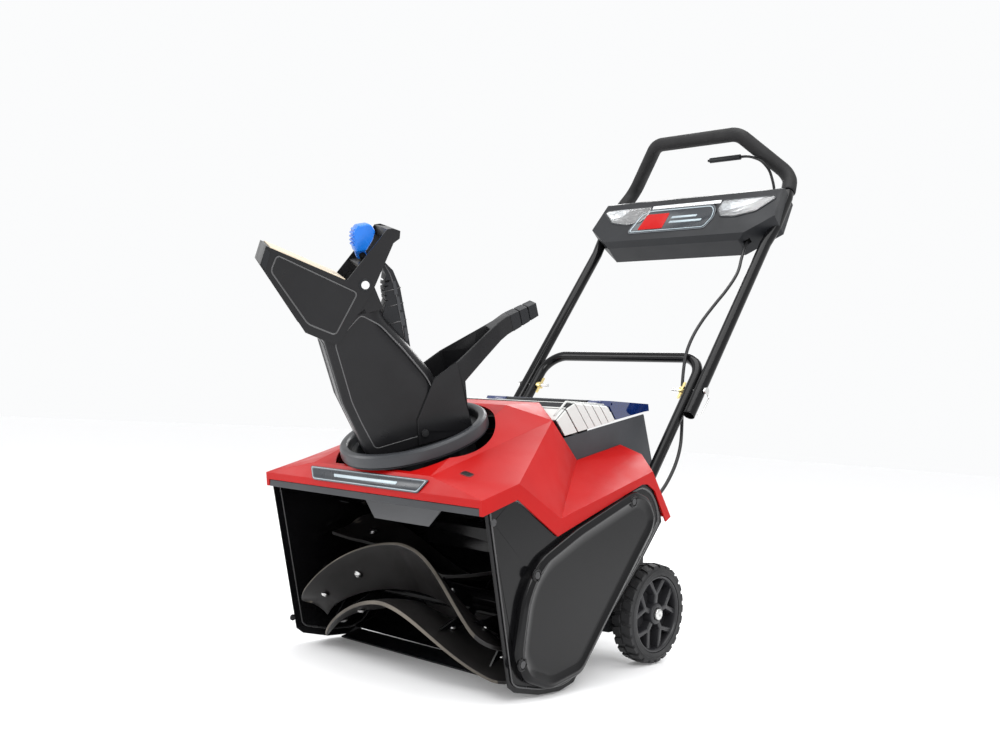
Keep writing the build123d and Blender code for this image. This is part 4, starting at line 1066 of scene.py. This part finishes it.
# Two rows of tread blocks: x, foot radius and crown radius at each side of a block.
TREAD_ROWS = [((209.0, 88.0, 94.2), (228.5, 91.5, 96.54)),
              ((231.5, 91.5, 96.54), (251.0, 88.0, 94.2))]
LUGS, LUG_SHARE, LUG_SLANT, LUG_STEPS, LUG_CHAMFER, LUG_DRAFT = 26, 0.72, 0.35, 3, 0.01, 0.6


def wheel_turned(mirror, profile, steps):
    return revolve(profile, machine(0, AXLE_Y, AXLE_Z), (mirror, 0, 0), steps)


def tread_lug(mirror, row, start):
    """One block of the tread, open at its foot, which is sunk in the tyre."""
    def spot(x, r, a):
        return machine(mirror * x, AXLE_Y + r * cos(a), AXLE_Z + r * sin(a))

    (x_in, foot_in, crown_in), (x_out, foot_out, crown_out) = TREAD_ROWS[row]
    span = 2 * pi / LUGS * LUG_SHARE
    slant = span * (LUG_SLANT if row else -LUG_SLANT)
    rings = []
    for j in range(LUG_STEPS + 1):
        a = start + span * j / LUG_STEPS
        crown = a + LUG_CHAMFER * ((j == 0) - (j == LUG_STEPS))
        rings.append([spot(x_in, foot_in, a), spot(x_in + LUG_DRAFT, crown_in, crown),
                      spot(x_out - LUG_DRAFT, crown_out, crown + slant),
                      spot(x_out, foot_out, a + slant)])
    return ring_mesh(rings, open_rings=True)


def tyre(mirror):
    lugs = [tread_lug(mirror, row, 2 * pi * (k + 0.5 * row) / LUGS)
            for k in range(LUGS) for row in (0, 1)]
    return merged(wheel_turned(mirror, TYRE, 96), wheel_turned(mirror, SIDEWALL_RING, 96), *lugs)


def spoke(mirror, middle):
    outline = [(r * cos(middle + a), r * sin(middle + a)) for r, a in SPOKE]
    return ring_mesh([[machine(mirror * x, AXLE_Y + y, AXLE_Z + z)
                       for y, z in shrink(outline, inset)] for inset, x in SPOKE_STEPS])


def rim(mirror):
    spokes = [spoke(mirror, radians(90 + 360 / SPOKES * k)) for k in range(SPOKES)]
    return merged(wheel_turned(mirror, RIM_BAND, 96), wheel_turned(mirror, HUB, 60),
                  wheel_turned(mirror, WEB, 72), *spokes)


def wheel_caps(mirror):
    return merged(wheel_turned(mirror, OUTER_CAP, 48), wheel_turned(mirror, INNER_CAP, 32))


piece("tyre_pair", *merged(tyre(1), tyre(-1)), "wheelset", "tyre", replaced=["tyres"],
      width=0.35, angle=40, segments=1)
piece("rim_pair", *merged(rim(1), rim(-1)), "wheelset", "rim_plastic",
      replaced=["wheel_rims"], width=0.7, angle=35)
piece("wheel_cap_pair", *merged(wheel_caps(1), wheel_caps(-1)), "wheelset", "zinc",
      replaced=["hub_caps"])

# ---------------------------------------------------------------- small port in the hood
FACET_CORNERS = [machine(150, -146, 359), machine(276, -69, 357), machine(165, 146, 461)]
PORT_AT = machine(190, -101, 362)
PORT = [(-11, -7), (11, -7), (11, 7), (-11, 7)]
PORT_STEPS = [(0, -1.0), (0, 0.35), (3, 0.3)]

facet_start, facet_front, facet_rear = FACET_CORNERS
facet_out = (facet_front - facet_start).cross(facet_rear - facet_start).normalized()
port_centre = PORT_AT - facet_out * (PORT_AT - facet_start).dot(facet_out)
on_port = on_face(column_frame(port_centre, Vector(X_AXIS) - facet_out * facet_out.x, facet_out))
piece("hood_port_rim", *ridge(subdivide(rounded(PORT, 5), 4), on_port, 0.1, 1.1), "chassis",
      "dark_red", slot="red_plastic")
piece("hood_port", *stepped(PORT, PORT_STEPS, 5, on_port), "chassis", "chute_plastic",
      slot="dark_plastic")

# ---------------------------------------------------------------- stage
# The camera stands where the photograph was taken from.
LENS_MM, SENSOR_MM = 38.88, 36.0
CAMERA_AT = (1.39919, -1.68860, 0.46928)
CAMERA_RIGHT = Vector((0.74978, 0.65897, 0.05993))
CAMERA_UP = Vector((-0.02200, -0.06570, 0.99760))
CAMERA_AHEAD = Vector((-0.66132, 0.74930, 0.03476))
WORLD_COLOUR, WORLD_STRENGTH = (0.965, 0.97, 0.975, 1.0), 1.0
FLOOR_REACH, FLOOR_DROP = 14.0, 0.0005
# Name, place, aim, size and power of each soft light.
LIGHTS = [("top_box", (0.2, -0.2, 3.2), (0, 0, 0.4), (2.6, 2.6), 70),
          ("key_box", (2.4, -1.6, 2.2), (0, 0, 0.5), (1.4, 1.4), 45),
          ("left_box", (-2.4, -2.2, 1.6), (0, 0, 0.5), (1.6, 1.6), 40),
          ("back_box", (-1.2, 2.6, 2.2), (0, 0, 0.6), (1.8, 1.4), 40)]

camera_data = bpy.data.cameras.new("camera")
camera_data.lens = LENS_MM
camera_data.sensor_width = SENSOR_MM
camera = bpy.data.objects.new("camera", camera_data)
scene.collection.objects.link(camera)
turned = Matrix((CAMERA_RIGHT, CAMERA_UP, -CAMERA_AHEAD)).transposed()
camera.matrix_world = Matrix.Translation(CAMERA_AT) @ turned.to_4x4()
scene.camera = camera

scene.view_settings.view_transform = "Standard"
world = bpy.data.worlds.new("studio")
scene.world = world
world.use_nodes = True
background = world.node_tree.nodes["Background"]
background.inputs["Color"].default_value = WORLD_COLOUR
background.inputs["Strength"].default_value = WORLD_STRENGTH


def soft_light(name, place, aim, size, power):
    light = bpy.data.lights.new(name, "AREA")
    light.shape = "RECTANGLE"
    light.size, light.size_y = size
    light.energy = power
    holder = bpy.data.objects.new(name, light)
    scene.collection.objects.link(holder)
    holder.location = place
    look = (Vector(aim) - Vector(place)).to_track_quat("-Z", "Y")
    holder.rotation_euler = look.to_euler()


for light_row in LIGHTS:
    soft_light(*light_row)

floor_mesh = bpy.data.meshes.new("floor")
floor_corners = [(x * FLOOR_REACH, y * FLOOR_REACH, 0)
                 for x, y in ((-1, -1), (1, -1), (1, 1), (-1, 1))]
floor_mesh.from_pydata(floor_corners, [], [(0, 1, 2, 3)])
floor = bpy.data.objects.new("floor", floor_mesh)
floor.location.z = -FLOOR_DROP
scene.collection.objects.link(floor)
floor_mesh.materials.append(finish("floor", (0.90, 0.90, 0.905), 0.6, spread=0.01, grain=40,
                                   depth=0.00001, spec=0.2, glow=0.10))
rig.stage(floor)

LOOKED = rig.bounds()
with open("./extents.json", "w") as out:
    json.dump({"cad": [list(c) for c in CAD_BOX], "visual": [list(c) for c in LOOKED]}, out)
